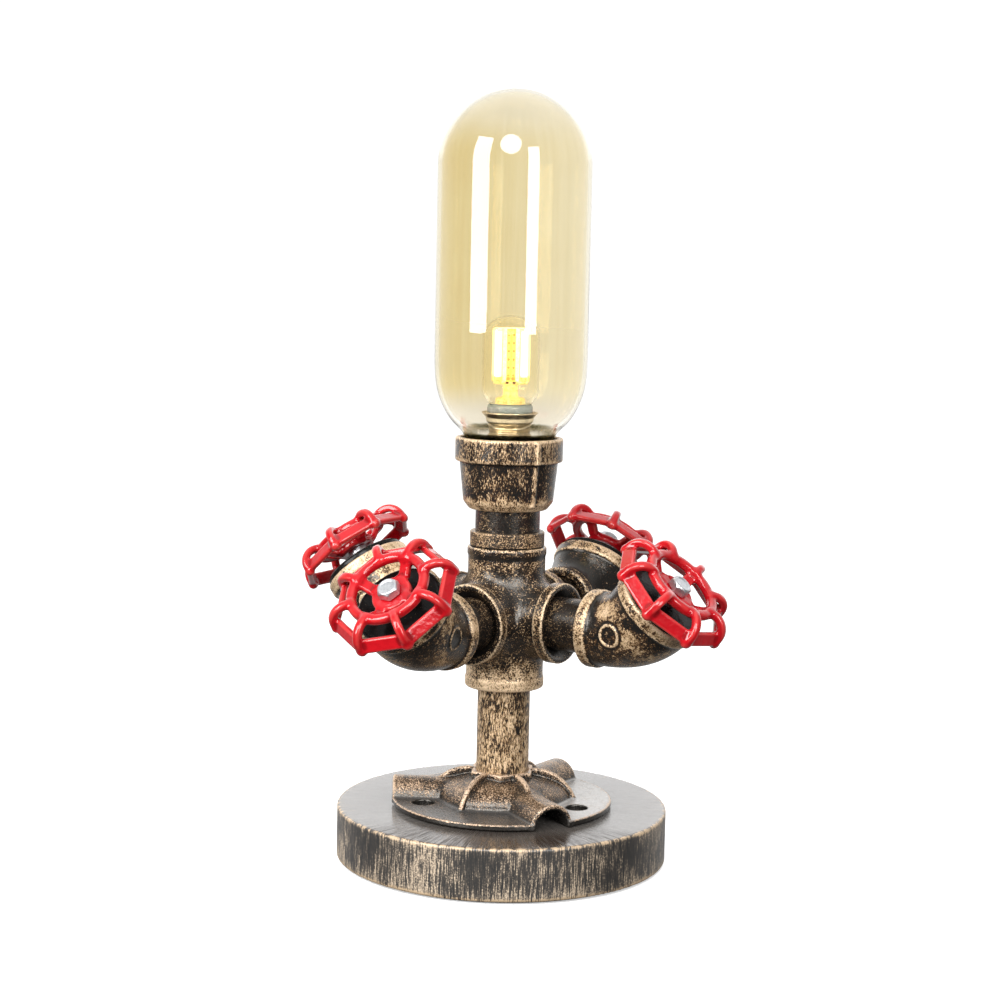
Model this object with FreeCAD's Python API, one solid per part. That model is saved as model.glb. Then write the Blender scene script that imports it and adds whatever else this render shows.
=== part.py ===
import FreeCAD, Part
import math
import os

# Industrial pipe table lamp.
# Frame: +Z up, origin at the centre of the underside of the foot pad.
# The four side arms lie along +X, -Y, -X and +Y.  Millimetres throughout.

V = FreeCAD.Vector
os.makedirs("parts", exist_ok=True)

# ---------------------------------------------------------------- dimensions
# pipe sizes
PIPE_R = 10.65          # half-inch pipe, outside radius (21.3 mm)
PIPE_BORE = 8.0         # half-inch pipe, inside radius
THREAD_IN = 9.0         # length of pipe held in each socket

# base
BASE_R = 67.0
BASE_TOP = 21.75
PAD_R = 63.5
PAD_T = 1.0
RECESS_R = 40.0
RECESS_TOP = 14.5
STEM_HOLE_R = 11.0
CORD_ANGLE = 123.5      # direction of the cord outlet in the edge of the base
CORD_Z = 8.0
CORD_HOLE_R = 4.0
CORD_BORE_R = 2.9
SPOT_R = 6.4            # flat round seat of the cord grommet
SPOT_AT = 65.0          # distance of that seat from the axis

# floor flange
FL_R = 44.6
FL_RIM_BOTTOM = 22.45
FL_TOP = 24.65
FL_PAD_R = 38.0
COLLAR_APO = 12.1
COLLAR_Z0 = 34.2
COLLAR_Z1 = 36.3
TUNNEL_ANGLES = (90.0, -30.0, 210.0)
TUNNEL_R = 9.1          # outer radius of the arched conduit
TUNNEL_BORE = 7.2
TUNNEL_Z = 22.8
HOLE_ANGLES = (6.0, 120.0, 235.0)
HOLE_AT = 33.8
HOLE_R = 4.4

# stem
STEM_Z0 = 8.5
STEM_Z1 = 80.0

# six-way cross
CR_Z0 = 70.9
CR_Z1 = 127.8
CR_VR = 15.6            # vertical socket radius
CR_Z = 99.1             # height of the four side outlets
CR_HR = 14.6            # side tube radius
CR_BAND_R = 16.05
CR_FACE = 27.3
CR_BAND_W = 4.6

# side arms
EL_IN = 41.0            # elbow inlet face, from the lamp axis
EL_A = 18.0             # centre to face, both ends
EL_IN_R = 15.4
EL_IN_W = 5.0
EL_OUT_R = 18.4
EL_OUT_W = 4.8
PLUG_R = 17.3
PLUG_T = 2.6
PLUG_BODY_R = 13.3
PLUG_DEPTH = 9.0

# wheel fasteners (M5)
M5_R = 2.5
M5_AF = 8.0
HEAD_W0 = 9.2           # underside of the bolt head, from the elbow's face
HEAD_T = 3.6
SPACER_R = 4.0

# handwheel, heights w measured from the elbow's outlet face
HUB_R = 8.0
HUB_W0, HUB_W1 = 5.6, 8.9
HUB_BORE = 2.58
RING_R0, RING_R1 = 13.0, 16.6
RING_W0, RING_W1 = 9.9, 13.6
RIB_W = 3.4
SPOKE_W = 4.4
WHEEL_RIBS = 8

# upper pipe work
COLLAR_R = 15.0
COLLAR0, COLLAR1 = 128.1, 134.1
UN_R, UN_BORE = 13.0, 10.5
UN_Z0, UN_Z1 = 118.0, 153.0
RED_Z0 = 143.0
RED_TOP = 171.8

# glass
GL_R = 30.6
GL_T = 1.6
GL_NECK_R = 18.0
GL_Z0 = 165.0
GL_TOP = 309.6

# lampholder and bulb
HOLDER_R, HOLDER_TOP = 12.0, 173.6
BULB_R, BULB_T, BULB_TOP = 11.4, 0.7, 220.4
BULB_Z0 = 185.4         # where the bulb's glass starts
BULB_NECK_R = 9.2
COLUMN_APO = 6.8        # flat-to-axis distance of the eight-sided column
STRIP_W = 3.2
STRIP_TURN = 33.5       # angle of the first strip

# arms: name, azimuth, rise of the outlet axis, extra length of the spacer under
# the wheel, and the angle of a spoked rib about the wheel axis
ARMS = (
    ("front_right", 0.0, 45.0, 0.0, 12.3),
    ("front_left", -90.0, 45.0, 0.0, -4.9),
    ("back_left", 180.0, 49.5, 2.8, 64.3),
    ("back_right", 90.0, 48.0, 2.8, 77.5),
)


# ------------------------------------------------------------------- helpers
def save(name, shape):
    if shape.isNull() or not shape.isValid():
        print("CHECK", name, "invalid shape")
    shape.exportStep("parts/%s.step" % name)
    print("%-24s solids %d  volume %.1f  z %.2f..%.2f" % (
        name, len(shape.Solids), shape.Volume, shape.BoundBox.ZMin, shape.BoundBox.ZMax))


def cyl(r, h, p=(0, 0, 0), d=(0, 0, 1)):
    return Part.makeCylinder(r, h, V(*p), V(*d))


def zcyl(r, z0, z1, x=0.0, y=0.0):
    return Part.makeCylinder(r, z1 - z0, V(x, y, z0))


def ring(r0, r1, z0, z1):
    return zcyl(r1, z0, z1).cut(zcyl(r0, z0 - 1, z1 + 1))


def revolve(points):
    """Solid of revolution about Z of a closed (r, z) polygon."""
    pts = [V(r, 0, z) for r, z in points]
    face = Part.Face(Part.makePolygon(pts + [pts[0]]))
    return face.revolve(V(0, 0, 0), V(0, 0, 1), 360)


def revolve_edges(edges):
    face = Part.Face(Part.Wire(edges))
    return face.revolve(V(0, 0, 0), V(0, 0, 1), 360)


def seg(a, b):
    return Part.LineSegment(V(a[0], 0, a[1]), V(b[0], 0, b[1])).toShape()


def spline(points, t0=None, t1=None):
    c = Part.BSplineCurve()
    pts = [V(r, 0, z) for r, z in points]
    if t0 is None:
        c.interpolate(pts)
    else:
        c.interpolate(Points=pts, InitialTangent=V(t0[0], 0, t0[1]), FinalTangent=V(t1[0], 0, t1[1]))
    return c.toShape()


def prism(n, apothem, z0, z1, turn=0.0):
    R = apothem / math.cos(math.pi / n)
    pts = []
    for i in range(n):
        a = math.radians(turn + 360.0 * i / n)
        pts.append(V(R * math.cos(a), R * math.sin(a), z0))
    return Part.Face(Part.makePolygon(pts + [pts[0]])).extrude(V(0, 0, z1 - z0))


def soften(shape, radius, pick):
    """Rounds the edges that pick() chooses; leaves the shape sharp if it can't."""
    edges = [e for e in shape.Edges if pick(e)]
    if not edges:
        return shape
    try:
        out = shape.makeFillet(radius, edges)
        if out.isValid() and out.Volume > 0:
            return out
    except Exception:
        pass
    print("  left sharp:", radius)
    return shape


def turned(shape, angle, axis=(0, 0, 1), centre=(0, 0, 0)):
    s = shape.copy()
    s.rotate(V(*centre), V(*axis), angle)
    return s


def one(shape):
    """A single solid out of a boolean result."""
    s = shape.removeSplitter()
    return s.Solids[0] if len(s.Solids) == 1 else s


def polar(r, a, z=0.0):
    a = math.radians(a)
    return (r * math.cos(a), r * math.sin(a), z)


# ---------------------------------------------------------------------- base
disc = zcyl(BASE_R, PAD_T, BASE_TOP)
disc = soften(disc, 0.9, lambda e: abs(e.BoundBox.ZMin - BASE_TOP) < 1e-6 and abs(e.BoundBox.ZMax - BASE_TOP) < 1e-6)
disc = soften(disc, 1.6, lambda e: abs(e.BoundBox.ZMax - PAD_T) < 1e-6)
disc = disc.cut(zcyl(RECESS_R, PAD_T - 1, RECESS_TOP))
disc = disc.cut(zcyl(STEM_HOLE_R, 0, BASE_TOP + 1))
cd = polar(1.0, CORD_ANGLE)
disc = disc.cut(cyl(CORD_HOLE_R, 40, polar(RECESS_R - 5, CORD_ANGLE, CORD_Z), cd))
disc = disc.cut(cyl(SPOT_R, 10, polar(SPOT_AT, CORD_ANGLE, CORD_Z), cd))
save("base_disc", one(disc))

save("foot_pad", zcyl(PAD_R, 0, PAD_T))

grommet = cyl(5.8, 1.6, polar(SPOT_AT, CORD_ANGLE, CORD_Z), cd)
grommet = grommet.fuse(cyl(CORD_HOLE_R, 26, polar(SPOT_AT - 26, CORD_ANGLE, CORD_Z), cd))
grommet = grommet.fuse(cyl(4.7, 1.5, polar(RECESS_R - 2.3, CORD_ANGLE, CORD_Z), cd))
grommet = grommet.cut(cyl(CORD_BORE_R, 40, polar(RECESS_R - 5, CORD_ANGLE, CORD_Z), cd))
save("cord_grommet", one(grommet))

# two-pole terminal block under the roof of the recess, on the cord's side
blk = Part.makeBox(11, 20, 12.3, V(23, -10, 2.2))
for y in (-2.6, 2.6):
    blk = blk.cut(cyl(1.9, 30, (20, y, 3.0 + 1.6), (1, 0, 0)))
    blk = blk.cut(zcyl(1.7, 1, 5.0, 28.5, y))
blk = turned(blk, CORD_ANGLE)
save("terminal_block", one(blk))

# washer and locknut that pull the stem down on the base
save("stem_washer", ring(STEM_HOLE_R + 0.1, 19.0, RECESS_TOP - 1.5, RECESS_TOP))
nut = prism(6, 15.5, STEM_Z0 + 0.4, RECESS_TOP - 1.5, 30).cut(zcyl(PIPE_R, 0, 20))
save("stem_locknut", one(nut))

# -------------------------------------------------------------- floor flange
# hexagonal vault: the common volume of three straight vaults
prof = [(25.4, FL_TOP - 1.0), (25.4, FL_TOP), (24.5, 27.3), (22.3, 30.6), (19.0, 33.2), (14.5, 34.5), (11.0, 34.9)]
half = [V(a, 0, z) for a, z in prof] + [V(-a, 0, z) for a, z in reversed(prof)]
vault = Part.Face(Part.makePolygon(half + [half[0]])).extrude(V(0, 80, 0))
vault.translate(V(0, -40, 0))
dome = None
for a in (0, 60, 120):
    piece = turned(vault, a)
    dome = piece if dome is None else dome.common(piece)
plate = zcyl(FL_R, FL_RIM_BOTTOM, FL_TOP)
plate = soften(plate, 0.6, lambda e: abs(e.BoundBox.ZMin - FL_TOP) < 1e-6 and e.BoundBox.ZMax - e.BoundBox.ZMin < 1e-6)
flange = plate.fuse(zcyl(FL_PAD_R, BASE_TOP, FL_TOP - 0.5)).fuse(dome)
flange = flange.fuse(prism(6, COLLAR_APO, 30, COLLAR_Z1, 30))
# six ribs down the edges of the vault
rib_prof = [(11.5, 30.0), (12.0, 36.3), (14.0, 36.6), (18.0, 36.0), (22.0, 34.6), (25.6, 31.9), (28.4, 28.6),
            (30.2, FL_TOP + 0.4), (30.2, FL_TOP - 0.8), (20.0, FL_TOP - 0.8)]
rp = [V(r, 0, z) for r, z in rib_prof]
rib = Part.Face(Part.makePolygon(rp + [rp[0]])).extrude(V(0, 2.2, 0))
rib.translate(V(0, -1.1, 0))
for k in range(6):
    flange = flange.fuse(turned(rib, 30 + 60 * k))
# three arched cable conduits out to the rim
for a in TUNNEL_ANGLES:
    t = cyl(TUNNEL_R, FL_R - 22.3, (22.0, 0, TUNNEL_Z), (1, 0, 0))
    t = t.common(Part.makeBox(60, 40, 20, V(0, -20, FL_RIM_BOTTOM)))
    t = t.common(zcyl(FL_R, 0, 60))
    flange = flange.fuse(turned(t, a))
for a in TUNNEL_ANGLES:
    b = cyl(TUNNEL_BORE, 22, (FL_R - 19.5, 0, TUNNEL_Z), (1, 0, 0))
    flange = flange.cut(turned(b, a))
for a in HOLE_ANGLES:
    x, y, _ = polar(HOLE_AT, a)
    flange = flange.cut(zcyl(HOLE_R, 10, 40, x, y))
flange = flange.cut(zcyl(PIPE_R, 0, 60))
save("floor_flange", one(flange))

# ---------------------------------------------------------------------- stem
save("stem_pipe", ring(PIPE_BORE, PIPE_R, STEM_Z0, STEM_Z1))

# ------------------------------------------------------------- six-way cross
vert = zcyl(CR_VR, CR_Z0, CR_Z1)
vert = soften(vert, 1.6, lambda e: abs(e.BoundBox.ZMax - CR_Z0) < 1e-6)
vert = soften(vert, 0.5, lambda e: abs(e.BoundBox.ZMin - CR_Z1) < 1e-6)
core = vert
for d in ((1, 0, 0), (0, 1, 0)):
    core = core.fuse(cyl(CR_HR, 2 * CR_FACE, (-d[0] * CR_FACE, -d[1] * CR_FACE, CR_Z), d))
core = core.removeSplitter()
rounded = core
for rad in (3.0, 2.0, 1.2):
    def inner(e):
        b = e.BoundBox
        far = max(abs(b.XMin), abs(b.XMax), abs(b.YMin), abs(b.YMax))
        return far < CR_FACE - 2 and b.ZMin > CR_Z0 + 4 and b.ZMax < CR_Z1 - 4 and b.DiagonalLength > 3
    trial = soften(core, rad, inner)
    if trial is not core:
        rounded = trial
        break
cross = rounded
for k in range(4):
    band = cyl(CR_BAND_R, CR_BAND_W, (CR_FACE - CR_BAND_W, 0, CR_Z), (1, 0, 0))
    band = soften(band, 0.8, lambda e: e.BoundBox.XMax - e.BoundBox.XMin < 1e-6)
    cross = cross.fuse(turned(band, 90 * k))
hollow = Part.makeSphere(12.0, V(0, 0, CR_Z))
hollow = hollow.fuse(zcyl(PIPE_BORE, CR_Z0 - 1, CR_Z1 + 1))
hollow = hollow.fuse(zcyl(PIPE_R, CR_Z0 - 1, STEM_Z1))
hollow = hollow.fuse(zcyl(UN_R, UN_Z0, CR_Z1 + 1))
for k in range(4):
    hollow = hollow.fuse(turned(cyl(PIPE_BORE, CR_FACE + 1, (0, 0, CR_Z), (1, 0, 0)), 90 * k))
    hollow = hollow.fuse(turned(cyl(PIPE_R, THREAD_IN + 1, (CR_FACE - THREAD_IN, 0, CR_Z), (1, 0, 0)), 90 * k))
cross = cross.cut(hollow)
save("six_way_cross", one(cross))

# ----------------------------------------------------------------- side arms
C45 = math.cos(math.radians(45.0))
BEND = V(EL_IN + EL_A, 0, CR_Z)


def outlet(angle):
    """Axis and face centre of the outlet of the +X arm."""
    q = math.radians(angle)
    n = V(math.cos(q), 0, math.sin(q))
    return n, BEND + n * EL_A


def elbow_sections(angle):
    """Centres, directions and outer radii along the elbow's centre line."""
    n, face = outlet(angle)
    t = 12.5
    rho = t / math.tan(math.radians(angle / 2))
    out = [(V(EL_IN, 0, CR_Z), V(1, 0, 0), 14.3), (V(EL_IN + EL_A - t, 0, CR_Z), V(1, 0, 0), 14.6)]
    c = V(EL_IN + EL_A - t, 0, CR_Z + rho)
    for k, r in ((1.0 / 3, 15.6), (2.0 / 3, 16.9)):
        q = math.radians(angle * k)
        out.append((c + V(math.sin(q), 0, -math.cos(q)) * rho, V(math.cos(q), 0, math.sin(q)), r))
    out.append((BEND + n * t, n, 17.5))
    out.append((face - n * 0.4, n, 17.5))
    return out


def loft(sections, scale=None):
    wires = []
    for p, d, r in sections:
        wires.append(Part.Wire(Part.Circle(p, d, scale if scale else r).toShape()))
    return Part.makeLoft(wires, True, False)


def make_elbow(angle):
    n, face = outlet(angle)
    secs = elbow_sections(angle)
    shape = loft(secs)
    b_in = cyl(EL_IN_R, EL_IN_W, (EL_IN, 0, CR_Z), (1, 0, 0))
    b_in = soften(b_in, 0.7, lambda e: e.BoundBox.XMax - e.BoundBox.XMin < 1e-6)
    b_out = Part.makeCylinder(EL_OUT_R, EL_OUT_W, face - n * EL_OUT_W, n)
    b_out = soften(b_out, 0.6, lambda e: e.Curve.TypeId == "Part::GeomCircle")
    # small round cast pads on both cheeks
    pads = cyl(4.6, 2 * 15.6, (57.5, -15.6, 99.8), (0, 1, 0))
    shape = shape.fuse(b_in).fuse(b_out).fuse(pads)
    bore = loft(secs, 8.2)
    bore = bore.fuse(cyl(PIPE_R, THREAD_IN + 1, (EL_IN - 1, 0, CR_Z), (1, 0, 0)))
    bore = bore.fuse(Part.makeCylinder(PLUG_BODY_R, PLUG_DEPTH + 2.5, face - n * (PLUG_DEPTH + 1.0), n))
    return one(shape.cut(bore))


nipple = cyl(PIPE_R, EL_IN + THREAD_IN - (CR_FACE - THREAD_IN), (CR_FACE - THREAD_IN, 0, CR_Z), (1, 0, 0))
nipple = nipple.cut(cyl(PIPE_BORE, 60, (0, 0, CR_Z), (1, 0, 0)))


def on_outlet(shape, angle, spin=0.0, lift=0.0):
    """Carries a shape built about +Z at the origin onto the +X arm's outlet face."""
    n, face = outlet(angle)
    s = shape.copy()
    s.rotate(V(0, 0, 0), V(0, 0, 1), spin)
    s.rotate(V(0, 0, 0), V(0, 1, 0), 90 - angle)
    s.translate(face + n * lift)
    return s


plug = zcyl(PLUG_R, 0, PLUG_T)
plug = soften(plug, 1.2, lambda e: abs(e.BoundBox.ZMin - PLUG_T) < 1e-6)
plug = plug.fuse(zcyl(PLUG_BODY_R, -PLUG_DEPTH, 0))
plug = plug.cut(zcyl(10.5, -PLUG_DEPTH - 1, -3.0))
plug = plug.cut(zcyl(M5_R, -20, 20))
plug = one(plug)

bolt = prism(6, M5_AF / 2, HEAD_W0, HEAD_W0 + HEAD_T, 30)
bolt = bolt.common(revolve([(0, HEAD_W0), (4.7, HEAD_W0), (4.7, HEAD_W0 + HEAD_T - 0.6), (4.0, HEAD_W0 + HEAD_T), (0, HEAD_W0 + HEAD_T)]))
bolt = bolt.cut(zcyl(2.6, HEAD_W0 + HEAD_T - 0.4, HEAD_W0 + HEAD_T + 1))
bolt = one(bolt.fuse(zcyl(M5_R, -7.0, HEAD_W0 + 0.5)))


def handwheel():
    """Dished cast handwheel: hub, four spokes, inner ring, eight hooped ribs
    and the eight straight bars that join their feet."""
    hub = zcyl(HUB_R, HUB_W0, HUB_W1)
    hub = soften(hub, 0.8, lambda e: e.BoundBox.ZMax - e.BoundBox.ZMin < 1e-6)
    rr = Part.Face(Part.makePolygon([V(RING_R0, 0, RING_W0), V(RING_R1, 0, RING_W0), V(RING_R1, 0, RING_W1),
                                     V(RING_R0, 0, RING_W1), V(RING_R0, 0, RING_W0)]))
    rim = rr.revolve(V(0, 0, 0), V(0, 0, 1), 360)
    rim = soften(rim, 1.1, lambda e: e.BoundBox.ZMax - e.BoundBox.ZMin < 1e-6 and e.Curve.TypeId == "Part::GeomCircle")
    body = hub.fuse(rim)
    sp = [(6.5, 6.0), (6.5, 8.7), (9.6, 8.9), (14.4, 12.6), (14.4, 10.3), (10.6, 6.4)]
    spoke = Part.Face(Part.makePolygon([V(r, 0, w) for r, w in sp + [sp[0]]])).extrude(V(0, SPOKE_W, 0))
    spoke.translate(V(0, -SPOKE_W / 2, 0))
    for k in range(4):
        body = body.fuse(turned(spoke, 90 * k))
    hr, hw, ro, ri = 18.0, 6.6, 8.1, 4.8        # hoop centre and its two radii
    start = (14.6, hw + math.sqrt(ro * ro - (hr - 14.6) ** 2))
    outer = Part.Arc(V(start[0], 0, start[1]), V(hr + ro * 0.6, 0, hw + ro * 0.8), V(hr + ro, 0, hw)).toShape()
    inner = Part.Arc(V(hr + ri, 0, hw), V(hr + ri * 0.6, 0, hw + ri * 0.8), V(hr, 0, hw + ri)).toShape()
    wire = Part.Wire([outer, seg((hr + ro, hw), (25.8, 4.4)), seg((25.8, 4.4), (25.1, 3.5)), seg((25.1, 3.5), (22.8, 4.0)),
                      seg((22.8, 4.0), (hr + ri, hw)), inner, seg((hr, hw + ri), (14.6, 11.0)),
                      seg((14.6, 11.0), start)])
    rib = Part.Face(wire).extrude(V(0, RIB_W, 0))
    rib.translate(V(0, -RIB_W / 2, 0))
    rib = soften(rib, 0.9, lambda e: e.Curve.TypeId == "Part::GeomCircle" and e.Curve.Radius > 6)
    bar_p = [(20.9, 9.2), (21.6, 9.1), (24.2, 4.8), (23.9, 3.7), (22.0, 3.7), (19.7, 7.6), (20.0, 8.8)]
    bp = [V(r, 0, w) for r, w in bar_p]
    L = 2 * 23.9 * math.tan(math.pi / WHEEL_RIBS)
    bar = Part.Face(Part.makePolygon(bp + [bp[0]])).extrude(V(0, L, 0))
    bar.translate(V(0, -L / 2, 0))
    wedge = Part.Face(Part.makePolygon([V(0, 0, 0), V(40, -40 * math.tan(math.pi / WHEEL_RIBS), 0),
                                        V(40, 40 * math.tan(math.pi / WHEEL_RIBS), 0), V(0, 0, 0)])).extrude(V(0, 0, 30))
    bar = bar.common(wedge)
    for k in range(WHEEL_RIBS):
        body = body.fuse(turned(rib, 45 * k))
        body = body.fuse(turned(bar, 45 * k + 22.5))
    body = body.cut(zcyl(HUB_BORE, 0, 20))
    return one(body)


wheel = handwheel()
print("wheel solids", len(wheel.Solids), wheel.isValid(), round(wheel.Volume, 1))

bolts = []
spacers = []
for name, az, rise, lift, spin in ARMS:
    save("nipple_" + name, turned(nipple, az))
    save("elbow_" + name, turned(make_elbow(rise), az))
    save("plug_" + name, turned(on_outlet(plug, rise), az))
    save("handwheel_" + name, turned(on_outlet(wheel, rise, spin, lift), az))
    bolts.append(turned(on_outlet(bolt, rise, spin * 0.5, lift), az))
    tube = ring(M5_R, SPACER_R, PLUG_T, HUB_W0 - 0.3 + lift)
    spacers.append(turned(on_outlet(tube, rise), az))
    n, face = outlet(rise)
    q = math.radians(az)
    for lab, p in (("axis", n), ("hub", face + n * (lift + 0.5 * (HUB_W0 + HUB_W1)))):
        print("  %s %s %.5f %.5f %.5f" % (name, lab, p.x * math.cos(q) - p.y * math.sin(q),
                                       p.x * math.sin(q) + p.y * math.cos(q), p.z))
save("wheel_bolts", Part.makeCompound(bolts))
save("wheel_spacers", Part.makeCompound(spacers))

# ------------------------------------------------------------ upper pipe work
lock = ring(UN_R, COLLAR_R, COLLAR0, COLLAR1)
lock = soften(lock, 0.45, lambda e: e.Curve.TypeId == "Part::GeomCircle" and abs(e.Curve.Radius - COLLAR_R) < 1e-6)
save("lock_collar", lock)
save("upper_nipple", ring(UN_BORE, UN_R, UN_Z0, UN_Z1))

red_out = [seg((13.0, 143.0), (13.6, 143.0)),
           spline([(13.6, 143.0), (16.4, 143.9), (18.2, 146.6)], (1, 0.05), (0.05, 1)),
           seg((18.2, 146.6), (19.8, 162.4)),
           seg((19.8, 162.4), (21.1, 162.4)),
           seg((21.1, 162.4), (21.6, 162.9)),
           seg((21.6, 162.9), (21.6, 171.2)),
           seg((21.6, 171.2), (21.0, RED_TOP)),
           seg((21.0, RED_TOP), (19.2, RED_TOP)),
           seg((19.2, RED_TOP), (19.2, 163.5)),
           seg((19.2, 163.5), (15.2, 163.5)),
           seg((15.2, 163.5), (15.2, 153.0)),
           seg((15.2, 153.0), (13.0, 153.0)),
           seg((13.0, 153.0), (13.0, 143.0))]
reducer = revolve_edges(red_out)
for a in (-24.5, 155.5):
    body_rib = Part.Face(Part.makePolygon([V(16.5, 0, 145.2), V(18.6, 0, 145.6), V(20.7, 0, 162.6), V(22.2, 0, 163.2),
                                           V(22.2, 0, 171.0), V(20.5, 0, 171.0), V(17.5, 0, 158.0), V(16.5, 0, 145.2)])).extrude(V(0, 2.2, 0))
    body_rib.translate(V(0, -1.1, 0))
    reducer = reducer.fuse(turned(body_rib, a))
reducer = reducer.cut(zcyl(15.2, 153.0, 170)).cut(zcyl(19.2, 163.5, 180))
save("bell_reducer", one(reducer))

# rubber seat ring of the glass, an L section
seat = revolve([(15.9, 163.8), (19.1, 163.8), (19.1, 171.0), (18.05, 171.0), (18.05, 164.7), (15.9, 164.7)])
save("glass_seat_ring", seat)

# ------------------------------------------------------------------- glass
go = [(18.0, 171.9), (18.9, 173.4), (23.0, 177.7), (26.9, 183.7), (29.3, 190.1), (30.35, 197.0), (GL_R, 204.0)]
gi = [(18.0 - GL_T, 172.4), (17.6, 174.6), (21.8, 178.9), (25.5, 184.6), (27.75, 190.6), (28.8, 197.2), (GL_R - GL_T, 204.0)]
zc = GL_TOP - GL_R
arc_o = Part.Arc(V(GL_R, 0, zc), V(GL_R * C45, 0, zc + GL_R * C45), V(0, 0, zc + GL_R)).toShape()
ri = GL_R - GL_T
arc_i = Part.Arc(V(0, 0, zc + ri), V(ri * C45, 0, zc + ri * C45), V(ri, 0, zc)).toShape()
glass = revolve_edges([
    seg((GL_NECK_R, GL_Z0), go[0]), spline(go, (0.25, 1), (0, 1)), seg(go[-1], (GL_R, zc)), arc_o,
    seg((0, zc + GL_R), (0, zc + ri)), arc_i, seg((ri, zc), gi[-1]),
    spline(list(reversed(gi)), (0, -1), (-0.25, -1)), seg(gi[0], (GL_NECK_R - GL_T, GL_Z0)),
    seg((GL_NECK_R - GL_T, GL_Z0), (GL_NECK_R, GL_Z0))])
save("glass_shade", glass)

# ------------------------------------------------------- lampholder and bulb
save("holder_disc", ring(5.0, 14.9, 153.0, 154.5))
save("holder_tube", ring(3.6, 5.0, 145.0, 157.6))
save("holder_nut", one(prism(6, 7.0, 149.6, 153.0, 0).cut(zcyl(5.0, 140, 160))))
body = zcyl(HOLDER_R, 154.5, HOLDER_TOP)
body = soften(body, 1.0, lambda e: abs(e.BoundBox.ZMin - HOLDER_TOP) < 1e-6)
body = body.cut(zcyl(9.0, 159.4, 180)).cut(zcyl(5.0, 150, 157.6))
dirv = V(*polar(1.0, CORD_ANGLE))
perp = V(-dirv.y, dirv.x, 0)
for o in (-1.7, 1.7):
    body = body.cut(zcyl(0.9, 150, 159.0, perp.x * o, perp.y * o))
save("lampholder_body", one(body))
save("lampholder_shell", ring(8.5, 9.0, 159.4, HOLDER_TOP - 0.4))
save("centre_contact", zcyl(3.2, 159.4, 160.6))

# lamp cap with its flared skirt
cap = revolve([(0, 160.9), (3.0, 160.9), (3.4, 161.6), (7.4, 162.6), (8.4, 163.6), (8.4, 176.4), (9.6, 177.6), (9.6, 179.8),
               (11.3, 181.5), (11.3, 181.9), (9.25, 181.9), (9.25, 177.3), (0, 177.3)])
save("bulb_cap", cap)
neck = zcyl(BULB_NECK_R, 177.3, BULB_Z0)
neck = soften(neck, 1.6, lambda e: e.BoundBox.ZMax - e.BoundBox.ZMin < 1e-6)
save("bulb_neck", neck)


def cap_arc(r, h, top):
    """Spherical cap of base radius r and height h, its centre on the axis."""
    R = (r * r + h * h) / (2 * h)
    a = 0.5 * math.asin(r / R)
    return Part.Arc(V(r, 0, top - h), V(R * math.sin(a), 0, top - R + R * math.cos(a)), V(0, 0, top)).toShape()


er, et, ez0, ez1, eh = BULB_R, BULB_T, BULB_Z0, BULB_TOP, 8.5
env = revolve_edges([
    seg((8.3, ez0), (9.0, ez0)), seg((9.0, ez0), (er, ez0 + 4.1)), seg((er, ez0 + 4.1), (er, ez1 - eh)), cap_arc(er, eh, ez1),
    seg((0, ez1), (0, ez1 - et)), cap_arc(er - et, eh - et, ez1 - et), seg((er - et, ez1 - eh), (er - et, ez0 + 4.3)),
    seg((er - et, ez0 + 4.3), (8.3, ez0))])
save("bulb_envelope", env)
# foot, post and eight-sided column that carries the strips
stem = zcyl(6.0, ez0, 187.0).fuse(zcyl(3.0, ez0, 194.0)).fuse(prism(8, COLUMN_APO, 193.0, 215.6, STRIP_TURN - 22.5))
save("bulb_stem", one(stem))
fil = []
for k in range(8):
    f = Part.makeBox(0.8, STRIP_W, 21.0, V(COLUMN_APO, -STRIP_W / 2, 194.2))
    fil.append(turned(f, 45 * k + STRIP_TURN))
save("led_strips", Part.makeCompound(fil))

# ------------------------------------------------------------------ wiring
def wire_tube(offset, r=0.9, bend=5.5):
    """Down the axis from the lampholder, one arc, then out to the terminals."""
    base = perp * offset
    top = base + V(0, 0, 159.0)
    a = base + V(0, 0, 3.0 + 1.6 + bend)
    c = a + dirv * bend
    m = c - dirv * (bend * C45) - V(0, 0, bend * C45)
    b = c - V(0, 0, bend)
    e = V(b.x, b.y, b.z) + dirv * (26.8 - bend)
    path = Part.Wire([Part.LineSegment(top, a).toShape(), Part.Arc(a, m, b).toShape(), Part.LineSegment(b, e).toShape()])
    prof = Part.Wire(Part.Circle(top, V(0, 0, 1), r).toShape())
    s = path.makePipeShell([prof], True, False)
    want = math.pi * r * r * path.Length
    print("  wire volume ratio %.4f, arc radius %.1f" % (s.Volume / want, bend))
    return s


save("live_wire", wire_tube(1.7))
save("neutral_wire", wire_tube(-1.7))
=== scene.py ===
import math
import bpy
import numpy as np
from mathutils import Matrix, Vector


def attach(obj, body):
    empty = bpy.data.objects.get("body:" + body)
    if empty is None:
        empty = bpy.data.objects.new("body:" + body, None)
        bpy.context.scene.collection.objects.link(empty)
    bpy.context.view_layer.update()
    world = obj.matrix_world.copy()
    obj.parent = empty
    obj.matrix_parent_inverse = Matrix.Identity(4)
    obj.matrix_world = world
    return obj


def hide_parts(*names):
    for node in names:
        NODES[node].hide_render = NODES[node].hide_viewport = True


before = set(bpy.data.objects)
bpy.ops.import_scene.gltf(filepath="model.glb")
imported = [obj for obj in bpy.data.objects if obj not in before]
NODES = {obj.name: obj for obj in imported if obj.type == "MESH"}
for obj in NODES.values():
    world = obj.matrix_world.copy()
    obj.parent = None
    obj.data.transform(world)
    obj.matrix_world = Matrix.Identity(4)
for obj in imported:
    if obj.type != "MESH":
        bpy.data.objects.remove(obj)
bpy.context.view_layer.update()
scene = bpy.context.scene

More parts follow.
